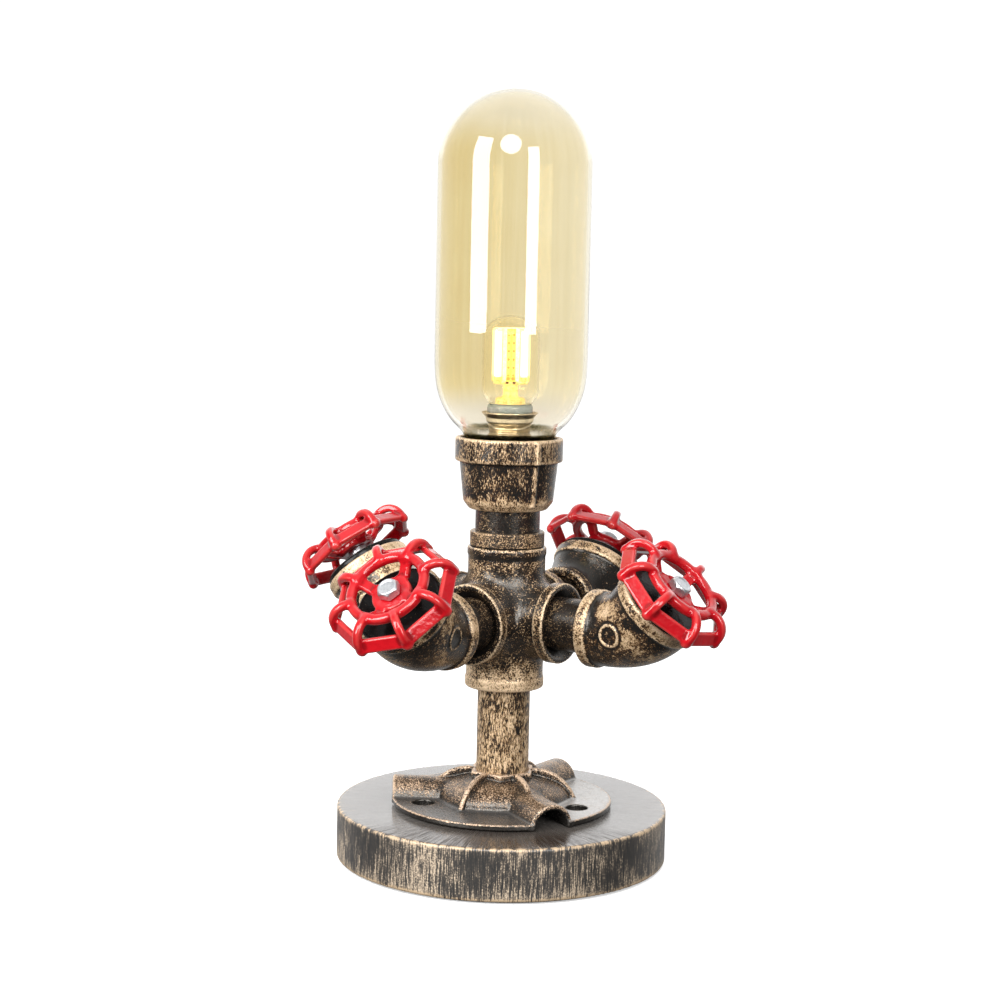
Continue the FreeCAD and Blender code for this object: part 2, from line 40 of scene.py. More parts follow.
# ============================================================ dimensions, mm
PIPE_R = 10.65
BASE_R, BASE_TOP, PAD_T = 67.0, 21.75, 1.0
RECESS_R, RECESS_TOP, STEM_HOLE_R = 40.0, 14.5, 11.0
CORD_ANGLE, CORD_Z, SPOT_R, SPOT_AT = 123.5, 8.0, 6.4, 65.0
FL_R, FL_RIM_BOTTOM, FL_TOP, FL_PAD_R = 44.6, 22.45, 24.65, 38.0
COLLAR_APO, COLLAR_Z1 = 12.1, 36.3
TUNNEL_ANGLES = (90.0, -30.0, 210.0)
TUNNEL_R, TUNNEL_BORE, TUNNEL_Z = 9.1, 7.2, 22.8
HOLE_ANGLES, HOLE_AT, HOLE_R = (6.0, 120.0, 235.0), 33.8, 4.4
STEM_Z0, STEM_Z1 = 8.5, 80.0
CR_Z0, CR_Z1, CR_VR, CR_Z, CR_HR = 70.9, 127.8, 15.6, 99.1, 14.6
CR_BAND_R, CR_FACE, CR_BAND_W = 16.05, 27.3, 4.6
EL_IN, EL_A, EL_IN_R, EL_IN_W = 41.0, 18.0, 15.4, 5.0
EL_OUT_R, EL_OUT_W = 18.4, 4.8
PLUG_R, PLUG_T = 17.3, 2.6
HEAD_W0, HEAD_T = 9.2, 3.6
GL_R, GL_T, GL_NECK_R, GL_Z0, GL_TOP = 30.6, 1.6, 18.0, 165.0, 309.6
ARMS = (
    ("front_right", 0.0, 45.0, 0.0, 12.3),
    ("front_left", -90.0, 45.0, 0.0, -4.9),
    ("back_left", 180.0, 49.5, 2.8, 64.3),
    ("back_right", 90.0, 48.0, 2.8, 77.5),
)


# ==================================================== distance-field helpers
def length(*c):
    return np.sqrt(sum(x * x for x in c))


def smin(a, b, k):
    h = np.clip(0.5 + 0.5 * (b - a) / k, 0.0, 1.0)
    return b + (a - b) * h - k * h * (1.0 - h)


def smax(a, b, k):
    return -smin(-a, -b, k)


def disc(r, z, R, z0, z1, rr=0.5):
    """Cylinder about the z axis with rounded edges; r and z are coordinates."""
    dr = r - (R - rr)
    dz = np.abs(z - 0.5 * (z0 + z1)) - (0.5 * (z1 - z0) - rr)
    return length(np.maximum(dr, 0), np.maximum(dz, 0)) + np.minimum(np.maximum(dr, dz), 0) - rr


def rect(u, v, hu, hv, rr):
    du, dv = np.abs(u) - (hu - rr), np.abs(v) - (hv - rr)
    return length(np.maximum(du, 0), np.maximum(dv, 0)) + np.minimum(np.maximum(du, dv), 0) - rr


def poly(pts, u, v):
    """Signed distance to a closed polygon in the (u, v) plane, negative inside."""
    pts = np.asarray(pts, float)
    d = np.full(u.shape, 1e9)
    s = np.ones(u.shape)
    n = len(pts)
    for i in range(n):
        a, b = pts[i], pts[i - 1]
        ex, ey = b - a
        wx, wy = u - a[0], v - a[1]
        t = np.clip((wx * ex + wy * ey) / (ex * ex + ey * ey), 0, 1)
        d = np.minimum(d, (wx - ex * t) ** 2 + (wy - ey * t) ** 2)
        c1, c2, c3 = v >= a[1], v < b[1], ex * wy > ey * wx
        s = np.where((c1 & c2 & c3) | (~c1 & ~c2 & ~c3), -s, s)
    return s * np.sqrt(d)


def surface(f, lo, hi, h, relax=3):
    """Closed quad mesh of f = 0 over a grid of step h, pulled onto the surface."""
    lo, hi = np.array(lo, float), np.array(hi, float)
    n = np.ceil((hi - lo) / h).astype(int) + 1
    ax = [lo[i] + h * np.arange(n[i]) for i in range(3)]
    F = np.empty(n, np.float32)
    step = max(1, int(1.2e6 // (n[1] * n[2])))
    for i in range(0, n[0], step):
        X, Y, Z = np.meshgrid(ax[0][i:i + step], ax[1], ax[2], indexing="ij")
        F[i:i + step] = f(np.stack([X.ravel(), Y.ravel(), Z.ravel()], 1)).reshape(X.shape)
    S = F < 0
    m = n - 1
    cnt = np.zeros(m, np.int8)
    for a in (0, 1):
        for b in (0, 1):
            for c in (0, 1):
                cnt += S[a:a + m[0], b:b + m[1], c:c + m[2]]
    mixed = (cnt > 0) & (cnt < 8)
    idx = np.full(m, -1, np.int64)
    cells = np.argwhere(mixed)
    idx[mixed] = np.arange(len(cells))
    acc = np.zeros((len(cells), 3))
    num = np.zeros(len(cells))
    corners = [(a, b, c) for a in (0, 1) for b in (0, 1) for c in (0, 1)]
    val = {c: F[cells[:, 0] + c[0], cells[:, 1] + c[1], cells[:, 2] + c[2]].astype(float) for c in corners}
    for axis in range(3):
        for c in corners:
            if c[axis]:
                continue
            e = list(c); e[axis] = 1
            va, vb = val[c], val[tuple(e)]
            cross = (va < 0) != (vb < 0)
            t = np.where(cross, va / np.where(cross, va - vb, 1), 0)
            p = np.repeat(np.array(c, float)[None], len(cells), 0)
            p[:, axis] = t
            acc[cross] += p[cross]
            num[cross] += 1
    P = lo + h * (cells + acc / num[:, None])
    quads = []
    for axis in range(3):
        o1, o2 = (axis + 1) % 3, (axis + 2) % 3
        sl0 = [slice(None)] * 3; sl1 = [slice(None)] * 3
        sl0[axis], sl1[axis] = slice(0, -1), slice(1, None)
        A, B = S[tuple(sl0)], S[tuple(sl1)]
        e = np.argwhere(A != B)
        ok = (e[:, o1] > 0) & (e[:, o2] > 0) & (e[:, o1] < n[o1] - 1) & (e[:, o2] < n[o2] - 1)
        e = e[ok]
        inside = A[tuple(e.T)]
        q = []
        for d1, d2 in ((-1, -1), (0, -1), (0, 0), (-1, 0)):
            c = e.copy(); c[:, o1] += d1; c[:, o2] += d2
            q.append(idx[tuple(c.T)])
        q = np.stack(q, 1)
        q[~inside] = q[~inside][:, ::-1]
        quads.append(q)
    Q = np.concatenate(quads)
    Q = Q[(Q >= 0).all(1)]

    def grad(P):
        e = 0.02
        g = np.empty_like(P)
        for i in range(3):
            d = np.zeros(3); d[i] = e
            g[:, i] = (f(P + d) - f(P - d)) / (2 * e)
        return g

    def project(P, times):
        for _ in range(times):
            g = grad(P)
            v = f(P)
            s = v / np.maximum((g * g).sum(1), 0.05)
            s = np.clip(s, -h, h)
            P = P - g * s[:, None]
        return P

    P = project(P, 2)
    E = edges_of(Q)
    for _ in range(relax):
        avg = laplace(P, E)
        g = grad(P)
        g /= np.maximum(np.linalg.norm(g, axis=1), 1e-6)[:, None]
        d = avg - P
        d -= g * (d * g).sum(1)[:, None]
        P = project(P + 0.6 * d, 1)
    P = project(P, 1)
    return P, Q


def edges_of(F):
    k = F.shape[1]
    E = np.concatenate([F[:, [i, (i + 1) % k]] for i in range(k)])
    E = np.sort(E, 1)
    E = E[E[:, 0] != E[:, 1]]
    return np.unique(E, axis=0)


def laplace(P, E):
    n = len(P)
    deg = np.bincount(E.ravel(), minlength=n).astype(float)
    out = np.empty_like(P)
    for i in range(P.shape[1]):
        out[:, i] = np.bincount(E[:, 0], P[E[:, 1], i], n) + np.bincount(E[:, 1], P[E[:, 0], i], n)
    return out / np.maximum(deg, 1)[:, None]


def normals_of(P, F):
    a, b, c, d = (P[F[:, i]] for i in range(4))
    fn = np.cross(c - a, d - b)
    N = np.zeros_like(P)
    for i in range(4):
        for j in range(3):
            N[:, j] += np.bincount(F[:, i], fn[:, j], len(P))
    return N / np.maximum(np.linalg.norm(N, axis=1), 1e-12)[:, None]


def convexity_of(P, F, scales):
    """How convex the surface is at each scale (mm): positive on edges, negative in corners."""
    E = edges_of(F)
    N = normals_of(P, F)
    el = np.linalg.norm(P[E[:, 0]] - P[E[:, 1]], axis=1).mean()
    out = []
    Q = P.copy()
    done = 0
    for s in scales:
        n = max(1, int(round((s / el) ** 2)))
        for _ in range(n - done):
            Q = 0.4 * Q + 0.6 * laplace(Q, E)
        done = max(n, done)
        w = ((P - Q) * N).sum(1) / s
        for _ in range(2):
            w = 0.5 * w + 0.5 * laplace(w[:, None], E)[:, 0]
        out.append(w)
    return out


def ease(v, lo, hi):
    t = np.clip((v - lo) / (hi - lo), 0.0, 1.0)
    return t * t * (3 - 2 * t)


def rot(axis, deg):
    return np.array(Matrix.Rotation(math.radians(deg), 3, axis))


def turn_z(P, deg):
    return P @ rot("Z", deg).T


def make(name, P, F, body, mat, nodes, smooth=True, convexity=True, scales=(1.0, 6.0), extra=None):
    """Mesh object in metres that rides on a body and stands for CAD nodes."""
    P = np.asarray(P, float)
    me = bpy.data.meshes.new(name)
    me.vertices.add(len(P))
    me.vertices.foreach_set("co", (P / 1000.0).astype(np.float32).ravel())
    F = np.asarray(F)
    tri = (F[:, 3] == F[:, 2])
    counts = np.where(tri, 3, 4)
    loops = F[~np.stack([np.zeros(len(F), bool)] * 3 + [tri], 1)]
    me.loops.add(len(loops))
    me.loops.foreach_set("vertex_index", loops.astype(np.int32))
    me.polygons.add(len(F))
    start = np.concatenate([[0], np.cumsum(counts)[:-1]])
    me.polygons.foreach_set("loop_start", start.astype(np.int32))
    me.polygons.foreach_set("loop_total", counts.astype(np.int32))
    me.update(calc_edges=True)
    me.validate()
    if smooth:
        me.polygons.foreach_set("use_smooth", np.ones(len(me.polygons), bool))
    if convexity:
        w = convexity_of(P, F, scales)
        for label, v in zip(("convexity", "broad"), w):
            at = me.attributes.new(label, "FLOAT", "POINT")
            at.data.foreach_set("value", v.astype(np.float32))
    if extra is not None:
        at = me.attributes.new("extra", "FLOAT", "POINT")
        at.data.foreach_set("value", np.asarray(extra, np.float32))
    ob = bpy.data.objects.new(name, me)
    scene.collection.objects.link(ob)
    me.materials.append(mat)
    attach(ob, body)
    if nodes:
        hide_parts(*nodes)
    return ob


def round_poly(pts, n=5):
    """Polygon of (r, z, radius) with its corners rounded, as a dense line."""
    out = []
    m = len(pts)
    for i in range(m):
        p = np.array(pts[i][:2], float)
        rad = pts[i][2] if len(pts[i]) > 2 else 0
        a = np.array(pts[i - 1][:2], float) - p
        b = np.array(pts[(i + 1) % m][:2], float) - p
        la, lb = np.linalg.norm(a), np.linalg.norm(b)
        if rad <= 0 or la < 1e-9 or lb < 1e-9:
            out.append(p)
            continue
        a, b = a / la, b / lb
        half = 0.5 * math.acos(max(-1, min(1, float(a @ b))))
        t = min(rad / math.tan(half), 0.49 * la, 0.49 * lb)
        r = t * math.tan(half)
        c = p + (a + b) / np.linalg.norm(a + b) * (r / math.sin(half))
        s, e = p + a * t - c, p + b * t - c
        a0, a1 = math.atan2(s[1], s[0]), math.atan2(e[1], e[0])
        d = (a1 - a0 + math.pi) % (2 * math.pi) - math.pi
        for k in range(n + 1):
            q = a0 + d * k / n
            out.append(c + r * np.array([math.cos(q), math.sin(q)]))
    return out


def lathe(profile, seg=96, step=0.7, closed=True):
    """Solid of revolution about Z of a closed (r, z) line, resampled to short steps."""
    pts = [np.array(p[:2], float) for p in profile]
    dense = []
    m = len(pts)
    for i in range(m if closed else m - 1):
        a, b = pts[i], pts[(i + 1) % m]
        L = np.linalg.norm(b - a)
        if L < 1e-9:
            continue
        axis = a[0] < 1e-6 and b[0] < 1e-6
        k = 1 if axis else max(1, int(math.ceil(L / step)))
        for j in range(k):
            dense.append(a + (b - a) * j / k)
    if not closed:
        dense.append(pts[-1])
    ring, V = [], []
    for p in dense:
        if p[0] < 1e-6:
            ring.append([len(V)] * seg)
            V.append((0, 0, p[1]))
        else:
            ring.append(list(range(len(V), len(V) + seg)))
            for k in range(seg):
                q = 2 * math.pi * k / seg
                V.append((p[0] * math.cos(q), p[0] * math.sin(q), p[1]))
    F = []
    n = len(ring)
    for i in range(n if closed else n - 1):
        A, B = ring[i], ring[(i + 1) % n]
        if A[0] == A[-1] and B[0] == B[-1]:
            continue
        for k in range(seg):
            l = (k + 1) % seg
            if A[0] == A[-1]:
                F.append((B[l], B[k], A[k], A[k]))
            elif B[0] == B[-1]:
                F.append((A[k], A[l], B[k], B[k]))
            else:
                F.append((A[k], A[l], B[l], B[k]))
    V, F = np.array(V, float), np.array(F)
    a, b, c, d = (V[F[:, i]] for i in range(4))
    vol = (np.cross(a, b) * c).sum() + (np.cross(a, c) * d).sum()
    if vol < 0:
        flip = F[:, ::-1].copy()
        tri = F[:, 2] == F[:, 3]
        flip[tri] = np.stack([F[tri, 1], F[tri, 0], F[tri, 2], F[tri, 2]], 1)
        F = flip
    return V, F


# ================================================================= materials
class Tree:
    def __init__(self, name):
        self.mat = bpy.data.materials.new(name)
        self.mat.use_nodes = True
        self.t = self.mat.node_tree
        self.t.nodes.clear()
        self.out = self.n("ShaderNodeOutputMaterial")
        self.bsdf = self.n("ShaderNodeBsdfPrincipled")
        self.link(self.bsdf.outputs[0], self.out.inputs["Surface"])
        self.co = self.n("ShaderNodeTexCoord").outputs["Object"]

    def n(self, kind, **props):
        x = self.t.nodes.new(kind)
        for k, v in props.items():
            setattr(x, k, v)
        return x

    def link(self, a, b):
        self.t.links.new(a, b)

    def put(self, sock, v):
        if isinstance(v, bpy.types.NodeSocket):
            self.link(v, sock)
        else:
            sock.default_value = v

    def math(self, op, a, b=None, c=None, clamp=False):
        x = self.n("ShaderNodeMath", operation=op, use_clamp=clamp)
        for i, v in enumerate((a, b, c)):
            if v is not None:
                self.put(x.inputs[i], v)
        return x.outputs[0]

    def scaled(self, sx, sy=None, sz=None):
        """Object coordinates, metres, times a scale for each axis."""
        m = self.n("ShaderNodeMapping")
        m.inputs["Scale"].default_value = (sx, sy if sy is not None else sx, sz if sz is not None else sx)
        self.link(self.co, m.inputs["Vector"])
        return m.outputs[0]

    def noise(self, vec, scale, detail=4.0, rough=0.55, lac=2.0, dist=0.0):
        x = self.n("ShaderNodeTexNoise")
        self.link(vec, x.inputs["Vector"])
        x.inputs["Scale"].default_value = scale
        x.inputs["Detail"].default_value = detail
        x.inputs["Roughness"].default_value = rough
        x.inputs["Lacunarity"].default_value = lac
        x.inputs["Distortion"].default_value = dist
        return x.outputs["Fac"]

    def ramp(self, fac, stops, mode="LINEAR"):
        x = self.n("ShaderNodeValToRGB")
        x.color_ramp.interpolation = mode
        e = x.color_ramp.elements
        while len(e) < len(stops):
            e.new(0.5)
        for el, (p, c) in zip(e, stops):
            el.position = p
            el.color = c if len(c) == 4 else (*c, 1)
        self.link(fac, x.inputs[0])
        return x.outputs[0]

    def step(self, v, lo, hi):
        x = self.n("ShaderNodeMapRange", interpolation_type="SMOOTHSTEP")
        self.put(x.inputs["Value"], v)
        x.inputs["From Min"].default_value = lo
        x.inputs["From Max"].default_value = hi
        return x.outputs[0]

    def attr(self, name):
        x = self.n("ShaderNodeAttribute", attribute_name=name)
        return x.outputs["Fac"]

    def mix(self, fac, a, b):
        x = self.n("ShaderNodeMix", data_type="RGBA")
        self.put(x.inputs[0], fac)
        self.put(x.inputs[6], a if isinstance(a, bpy.types.NodeSocket) else (*a, 1))
        self.put(x.inputs[7], b if isinstance(b, bpy.types.NodeSocket) else (*b, 1))
        return x.outputs[2]

    def mixf(self, fac, a, b):
        x = self.n("ShaderNodeMix", data_type="FLOAT")
        self.put(x.inputs[0], fac)
        self.put(x.inputs[2], a)
        self.put(x.inputs[3], b)
        return x.outputs[0]

    def bump(self, height, strength, distance, normal=None):
        x = self.n("ShaderNodeBump")
        x.inputs["Strength"].default_value = strength
        x.inputs["Distance"].default_value = distance
        self.link(height, x.inputs["Height"])
        if normal is not None:
            self.link(normal, x.inputs["Normal"])
        return x.outputs[0]

    def set(self, **kw):
        for k, v in kw.items():
            self.put(self.bsdf.inputs[k.replace("_", " ")], v)


BLACK = (0.0100, 0.0090, 0.0082)
BROWN = (0.082, 0.040, 0.017)
GOLD = (0.60, 0.425, 0.245)


def polar_coords(T, ka, kr, kz):
    """Coordinates that run round the lamp's axis: (cos, sin) times ka plus r kr and z kz, in mm."""
    sep = T.n("ShaderNodeSeparateXYZ")
    T.link(T.co, sep.inputs[0])
    x, y, z = sep.outputs
    r = T.math("SQRT", T.math("ADD", T.math("MULTIPLY", x, x), T.math("MULTIPLY", y, y)))
    r = T.math("MAXIMUM", r, 1e-5)
    cx, cy = T.math("DIVIDE", x, r), T.math("DIVIDE", y, r)
    rz = T.math("ADD", T.math("MULTIPLY", r, kr * 1000), T.math("MULTIPLY", z, kz * 1000))
    com = T.n("ShaderNodeCombineXYZ")
    T.link(T.math("MULTIPLY", cx, ka), com.inputs[0])
    T.link(T.math("MULTIPLY", cy, ka), com.inputs[1])
    T.link(rz, com.inputs[2])
    return com.outputs[0], r, z


def antique(name, amount=0.0, edge=1.0, speck=1.0, brown=0.5, streak=None, gloss=0.36, patch=130.0, gold=GOLD, bump=0.35,
            grain_at=2.1, black=BLACK, spec=0.42, blot=1.0, lit_pale=None):
    """Black castings dry-brushed with antique gold: specks, rubbed patches and bright edges; a pale colour, when given,
    is a painted grey sheen on the black.
    """
    T = Tree(name)
    w = T.attr("convexity")
    b = T.attr("broad")
    mm = T.scaled(1000)
    base = mm
    if streak:
        base = T.scaled(*[1000 * s for s in streak])
    big = T.noise(mm, patch / 1000.0, 3.0, 0.55)                       # rubbed areas
    mid = T.noise(base, 0.42, 4.0, 0.6, dist=0.6)
    fine = T.noise(base, grain_at, 3.0, 0.62)
    grain = T.noise(mm, 3.6, 1.0, 0.5)
    # how much gold lies here
    cover = T.math("MULTIPLY_ADD", T.math("SUBTRACT", big, 0.5), 1.5 * blot, amount)
    cover = T.math("ADD", cover, T.math("MULTIPLY", T.math("SUBTRACT", mid, 0.5), 1.1 * blot))
    cover = T.math("ADD", cover, T.math("MULTIPLY", T.math("SUBTRACT", fine, 0.5), 3.4 * speck))
    cover = T.math("ADD", cover, T.math("MULTIPLY", T.math("SUBTRACT", grain, 0.5), 0.8 * speck))
    chip = T.noise(mm, 0.8, 3.0, 0.6)                                 # breaks the rubbed edges up
    edgev = T.math("MULTIPLY", T.math("SUBTRACT", w, T.mixf(chip, 0.02, 0.055)), 9.0 * edge)
    edgev = T.math("MINIMUM", T.math("MAXIMUM", edgev, -0.7), 1.2)
    broken = T.mixf(T.step(T.noise(mm, 1.5, 3.0, 0.65), 0.40, 0.55), 0.15, 1.0)
    cover = T.math("ADD", cover, T.math("MULTIPLY", edgev, broken))
    wide = T.math("MINIMUM", T.math("MAXIMUM", T.math("MULTIPLY", b, 1.5), -0.25), 0.20)
    cover = T.math("ADD", cover, wide)
    cover = T.math("ADD", cover, T.attr("extra"))
    g = T.step(cover, 0.06, 0.22)
    # black flecks left in the heaviest gold
    fleck = T.step(T.noise(base, 2.7, 2.0, 0.5), 0.60, 0.68)
    g = T.math("MULTIPLY", g, T.math("SUBTRACT", 1.0, T.math("MULTIPLY", fleck, 0.85)))
    br = T.step(cover, -0.42, 0.08)
    rim = T.step(w, 0.05, 0.13)
    tone = T.noise(mm, 0.9, 3.0, 0.6)
    goldc = T.mix(T.step(tone, 0.3, 0.70), tuple(c * k for c, k in zip(gold, (0.50, 0.42, 0.34))), tuple(min(1, c * 1.15) for c in gold))
    cream = tuple(min(1, c * k) for c, k in zip(gold, (1.42, 1.52, 1.75)))
    thick = T.step(cover, 0.25, 0.95)
    goldc = T.mix(T.math("MULTIPLY", T.math("MAXIMUM", T.math("MULTIPLY", rim, 0.75), thick), 0.85), goldc, cream)
    dark = T.mix(T.math("MULTIPLY", br, brown), black, BROWN)
    # painted sheen: pale grey mixed into the black where the mesh marks it
    if lit_pale:
        dark = T.mix(T.attr("lit_pale"), dark, lit_pale)
    col = T.mix(g, dark, goldc)
    T.set(Base_Color=col)
    T.set(Metallic=T.mixf(g, 0.0, 0.35))
    rough = T.mixf(g, T.mixf(T.step(mid, 0.3, 0.7), gloss - 0.08, gloss + 0.10), 0.42)
    T.set(Roughness=rough)
    T.bsdf.inputs["Specular IOR Level"].default_value = spec
    T.bsdf.inputs["Specular Tint"].default_value = (1.0, 0.93, 0.84, 1)
    cast = T.noise(mm, 0.55, 4.0, 0.6)
    pit = T.noise(mm, 2.2, 3.0, 0.6)
    h = T.math("ADD", T.math("MULTIPLY", cast, 0.30), T.math("MULTIPLY", pit, 0.10))
    h = T.math("ADD", h, T.math("MULTIPLY", g, 0.035))
    T.set(Normal=T.bump(h, bump, 0.0012))
    return T.mat


def wood_base(name):
    """Turned base: brushed dark top face with a painted grey sheen that turns brown towards the front, fine upright
    streaks down the side, thin rubbed edges.
    """
    T = Tree(name)
    w = T.attr("convexity")
    pc, r, z = polar_coords(T, 40.0, 0.03, 0.045)
    streak = T.noise(pc, 1.0, 5.0, 0.62)
    pc2, _, _ = polar_coords(T, 170.0, 0.07, 0.13)
    thin = T.noise(pc2, 1.0, 4.0, 0.62)
    mm = T.scaled(1000)
    fine = T.noise(mm, 1.6, 4.0, 0.65)
    patch = T.noise(mm, 0.055, 3.0, 0.5)
    geo = T.n("ShaderNodeNewGeometry")
    sepn = T.n("ShaderNodeSeparateXYZ")
    T.link(geo.outputs["Normal"], sepn.inputs[0])
    top = T.step(sepn.outputs[2], 0.6, 0.95)
    zmm = T.math("MULTIPLY", z, 1000)
    # side: streaks of gold that thicken towards both edges
    low = T.step(zmm, 8.0, 0.8)
    high = T.step(zmm, 17.5, 21.6)
    side = T.math("MULTIPLY_ADD", T.math("SUBTRACT", thin, 0.5), 3.6, -0.16)
    side = T.math("ADD", side, T.math("MULTIPLY", T.math("SUBTRACT", streak, 0.5), 1.0))
    side = T.math("ADD", side, T.math("MULTIPLY", T.math("SUBTRACT", fine, 0.5), 1.4))
    side = T.math("ADD", side, T.math("MULTIPLY", T.math("SUBTRACT", patch, 0.5), 1.6))
    side = T.math("ADD", side, T.math("ADD", T.math("MULTIPLY", low, 0.30), T.math("MULTIPLY", high, 0.12)))
    # top: faint brushing, brown towards the rim
    topv = T.math("MULTIPLY_ADD", T.math("SUBTRACT", thin, 0.5), 2.2, -0.45)
    topv = T.math("ADD", topv, T.math("MULTIPLY", T.math("SUBTRACT", streak, 0.5), 1.2))
    topv = T.math("ADD", topv, T.math("MULTIPLY", T.math("SUBTRACT", fine, 0.5), 0.8))
    rim = T.step(T.math("MULTIPLY", r, 1000), 56.0, 66.5)
    topv = T.math("ADD", topv, T.math("MULTIPLY", rim, 0.24))
    cover = T.mixf(top, side, topv)
    edgev = T.math("MINIMUM", T.math("MAXIMUM", T.math("MULTIPLY", T.math("SUBTRACT", w, T.mixf(fine, 0.03, 0.09)), 7.0), 0.0), 0.75)
    worn = T.mixf(T.step(T.noise(mm, 0.35, 4.0, 0.65), 0.42, 0.56), 0.25, 1.0)
    cover = T.math("ADD", cover, T.math("MULTIPLY", edgev, worn))
    g = T.step(cover, 0.0, 0.42)
    br = T.step(cover, -0.6, 0.1)
    dark = T.mix(T.math("MULTIPLY", br, 0.6), (0.018, 0.017, 0.016), (0.080, 0.064, 0.050))
    # painted sheen: the top face is painted grey where the backdrop's glancing reflection would light it, and brown
    # towards the front; brush streaks break it up
    fd = T.n("ShaderNodeVectorMath", operation="DOT_PRODUCT")
    T.link(T.co, fd.inputs[0])
    fd.inputs[1].default_value = (0.552, -0.834, 0.0)
    front = T.math("MULTIPLY", T.step(T.math("MULTIPLY", fd.outputs["Value"], 1000.0), 26.0, 56.0), top)
    painted_sheen = T.mix(front, (0.155, 0.142, 0.130), (0.046, 0.031, 0.022))
    dark = T.mix(T.math("MULTIPLY", top, T.mixf(T.step(thin, 0.30, 0.68), 0.35, 1.0)), dark, painted_sheen)
    goldc = T.mix(T.step(fine, 0.35, 0.7), (0.33, 0.255, 0.185), (0.70, 0.560, 0.400))
    goldc = T.mix(T.step(w, 0.03, 0.10), goldc, (0.56, 0.41, 0.26))
    T.set(Base_Color=T.mix(g, dark, goldc))
    T.set(Metallic=T.mixf(g, 0.0, 0.2))
    dull = T.math("MULTIPLY", front, T.step(T.math("ADD", T.math("MULTIPLY", thin, 0.6), T.math("MULTIPLY", streak, 0.4)), 0.52, 0.44))
    T.set(Roughness=T.mixf(g, T.mixf(top, 0.42, T.mixf(dull, 0.13, 0.55)), T.mixf(top, 0.5, 0.24)))
    T.bsdf.inputs["Specular IOR Level"].default_value = 1.0
    h = T.math("ADD", T.math("MULTIPLY", thin, 0.35), T.math("MULTIPLY", fine, 0.12))
    T.set(Normal=T.bump(h, 0.28, 0.0007))
    return T.mat


def red_enamel(name):
    T = Tree(name)
    mm = T.scaled(1000)
    b = T.attr("convexity")
    tone = T.noise(mm, 0.12, 2.0, 0.5)
    col = T.mix(T.step(tone, 0.3, 0.7), (0.37, 0.0035, 0.008), (0.46, 0.006, 0.011))
    # painted shade: darker red in the hollows and where ribs meet the rim
    painted_shade = T.step(b, 0.0, -0.06)
    col = T.mix(T.math("MULTIPLY", painted_shade, 0.6), col, (0.14, 0.002, 0.004))
    # painted highlight: pinkish white along the crests of ribs and rims
    painted_highlight = T.step(b, 0.06, 0.15)
    col = T.mix(T.math("MULTIPLY", painted_highlight, 0.22), col, (0.80, 0.12, 0.10))
    T.set(Base_Color=col)
    rg = T.noise(mm, 0.5, 3.0, 0.6)
    T.set(Roughness=T.mixf(rg, 0.12, 0.24))
    T.bsdf.inputs["Specular IOR Level"].default_value = 0.35
    T.bsdf.inputs["Coat Weight"].default_value = 0.45
    T.bsdf.inputs["Coat Roughness"].default_value = 0.05
    peel = T.noise(mm, 0.42, 2.0, 0.5)
    T.set(Normal=T.bump(peel, 0.18, 0.0012))
    return T.mat


def zinc(name, rough=0.3):
    T = Tree(name)
    mm = T.scaled(1000)
    v = T.n("ShaderNodeTexVoronoi")
    T.link(mm, v.inputs["Vector"])
    v.inputs["Scale"].default_value = 1.1
    n = T.noise(mm, 1.3, 4.0, 0.6)
    f = T.math("MULTIPLY_ADD", v.outputs["Distance"], 0.5, T.math("MULTIPLY", n, 0.6))
    T.set(Base_Color=T.mix(f, (0.42, 0.44, 0.47), (0.80, 0.82, 0.84)))
    T.set(Metallic=0.9)
    T.set(Roughness=T.mixf(n, rough - 0.08, rough + 0.2))
    T.set(Normal=T.bump(n, 0.25, 0.0005))
    return T.mat


def brass(name, base=(0.62, 0.44, 0.20), rough=0.22):
    T = Tree(name)
    mm = T.scaled(1000)
    n = T.noise(mm, 0.5, 4.0, 0.6)
    T.set(Base_Color=T.mix(T.step(n, 0.3, 0.7), tuple(c * 0.7 for c in base), base))
    T.set(Metallic=1.0)
    T.set(Roughness=T.mixf(n, rough - 0.06, rough + 0.14))
    T.set(Normal=T.bump(n, 0.15, 0.0004))
    return T.mat


def plastic(name, c, rough=0.4, spread=0.2, grain=1.2, depth=0.0002, metallic=0.0):
    T = Tree(name)
    mm = T.scaled(1000)
    n = T.noise(mm, grain, 4.0, 0.6)
    lo = tuple(max(0, x * (1 - spread)) for x in c)
    hi = tuple(min(1, x * (1 + spread)) for x in c)
    T.set(Base_Color=T.mix(T.step(n, 0.3, 0.7), lo, hi))
    T.set(Metallic=metallic)
    T.set(Roughness=T.mixf(n, max(0.03, rough - 0.08), rough + 0.12))
    T.set(Normal=T.bump(n, 0.2, depth))
    return T.mat


def felt(name):
    T = Tree(name)
    mm = T.scaled(1000)
    n = T.noise(mm, 2.5, 5.0, 0.75)
    T.set(Base_Color=T.mix(n, (0.008, 0.008, 0.008), (0.05, 0.05, 0.05)))
    T.set(Roughness=T.mixf(n, 0.85, 1.0))
    T.bsdf.inputs["Sheen Weight"].default_value = 0.4
    T.set(Normal=T.bump(n, 0.8, 0.0006))
    return T.mat


def plug_paint(name):
    """Gloss black plug with a little gold dust and a rubbed rim."""
    T = Tree(name)
    mm = T.scaled(1000)
    w = T.attr("convexity")
    n = T.noise(mm, 1.9, 4.0, 0.65)
    g = T.step(T.math("ADD", n, T.math("MULTIPLY", w, 0.6)), 0.66, 0.74)
    T.set(Base_Color=T.mix(T.math("MULTIPLY", g, 0.6), (0.006, 0.006, 0.006), (0.30, 0.22, 0.12)))
    T.set(Roughness=T.mixf(T.noise(mm, 0.4, 3.0), 0.16, 0.32))
    T.bsdf.inputs["Specular IOR Level"].default_value = 0.14
    T.bsdf.inputs["Coat Weight"].default_value = 0.10
    T.bsdf.inputs["Coat Roughness"].default_value = 0.06
    T.set(Normal=T.bump(T.noise(mm, 0.8, 3.0), 0.2, 0.0006))
    return T.mat


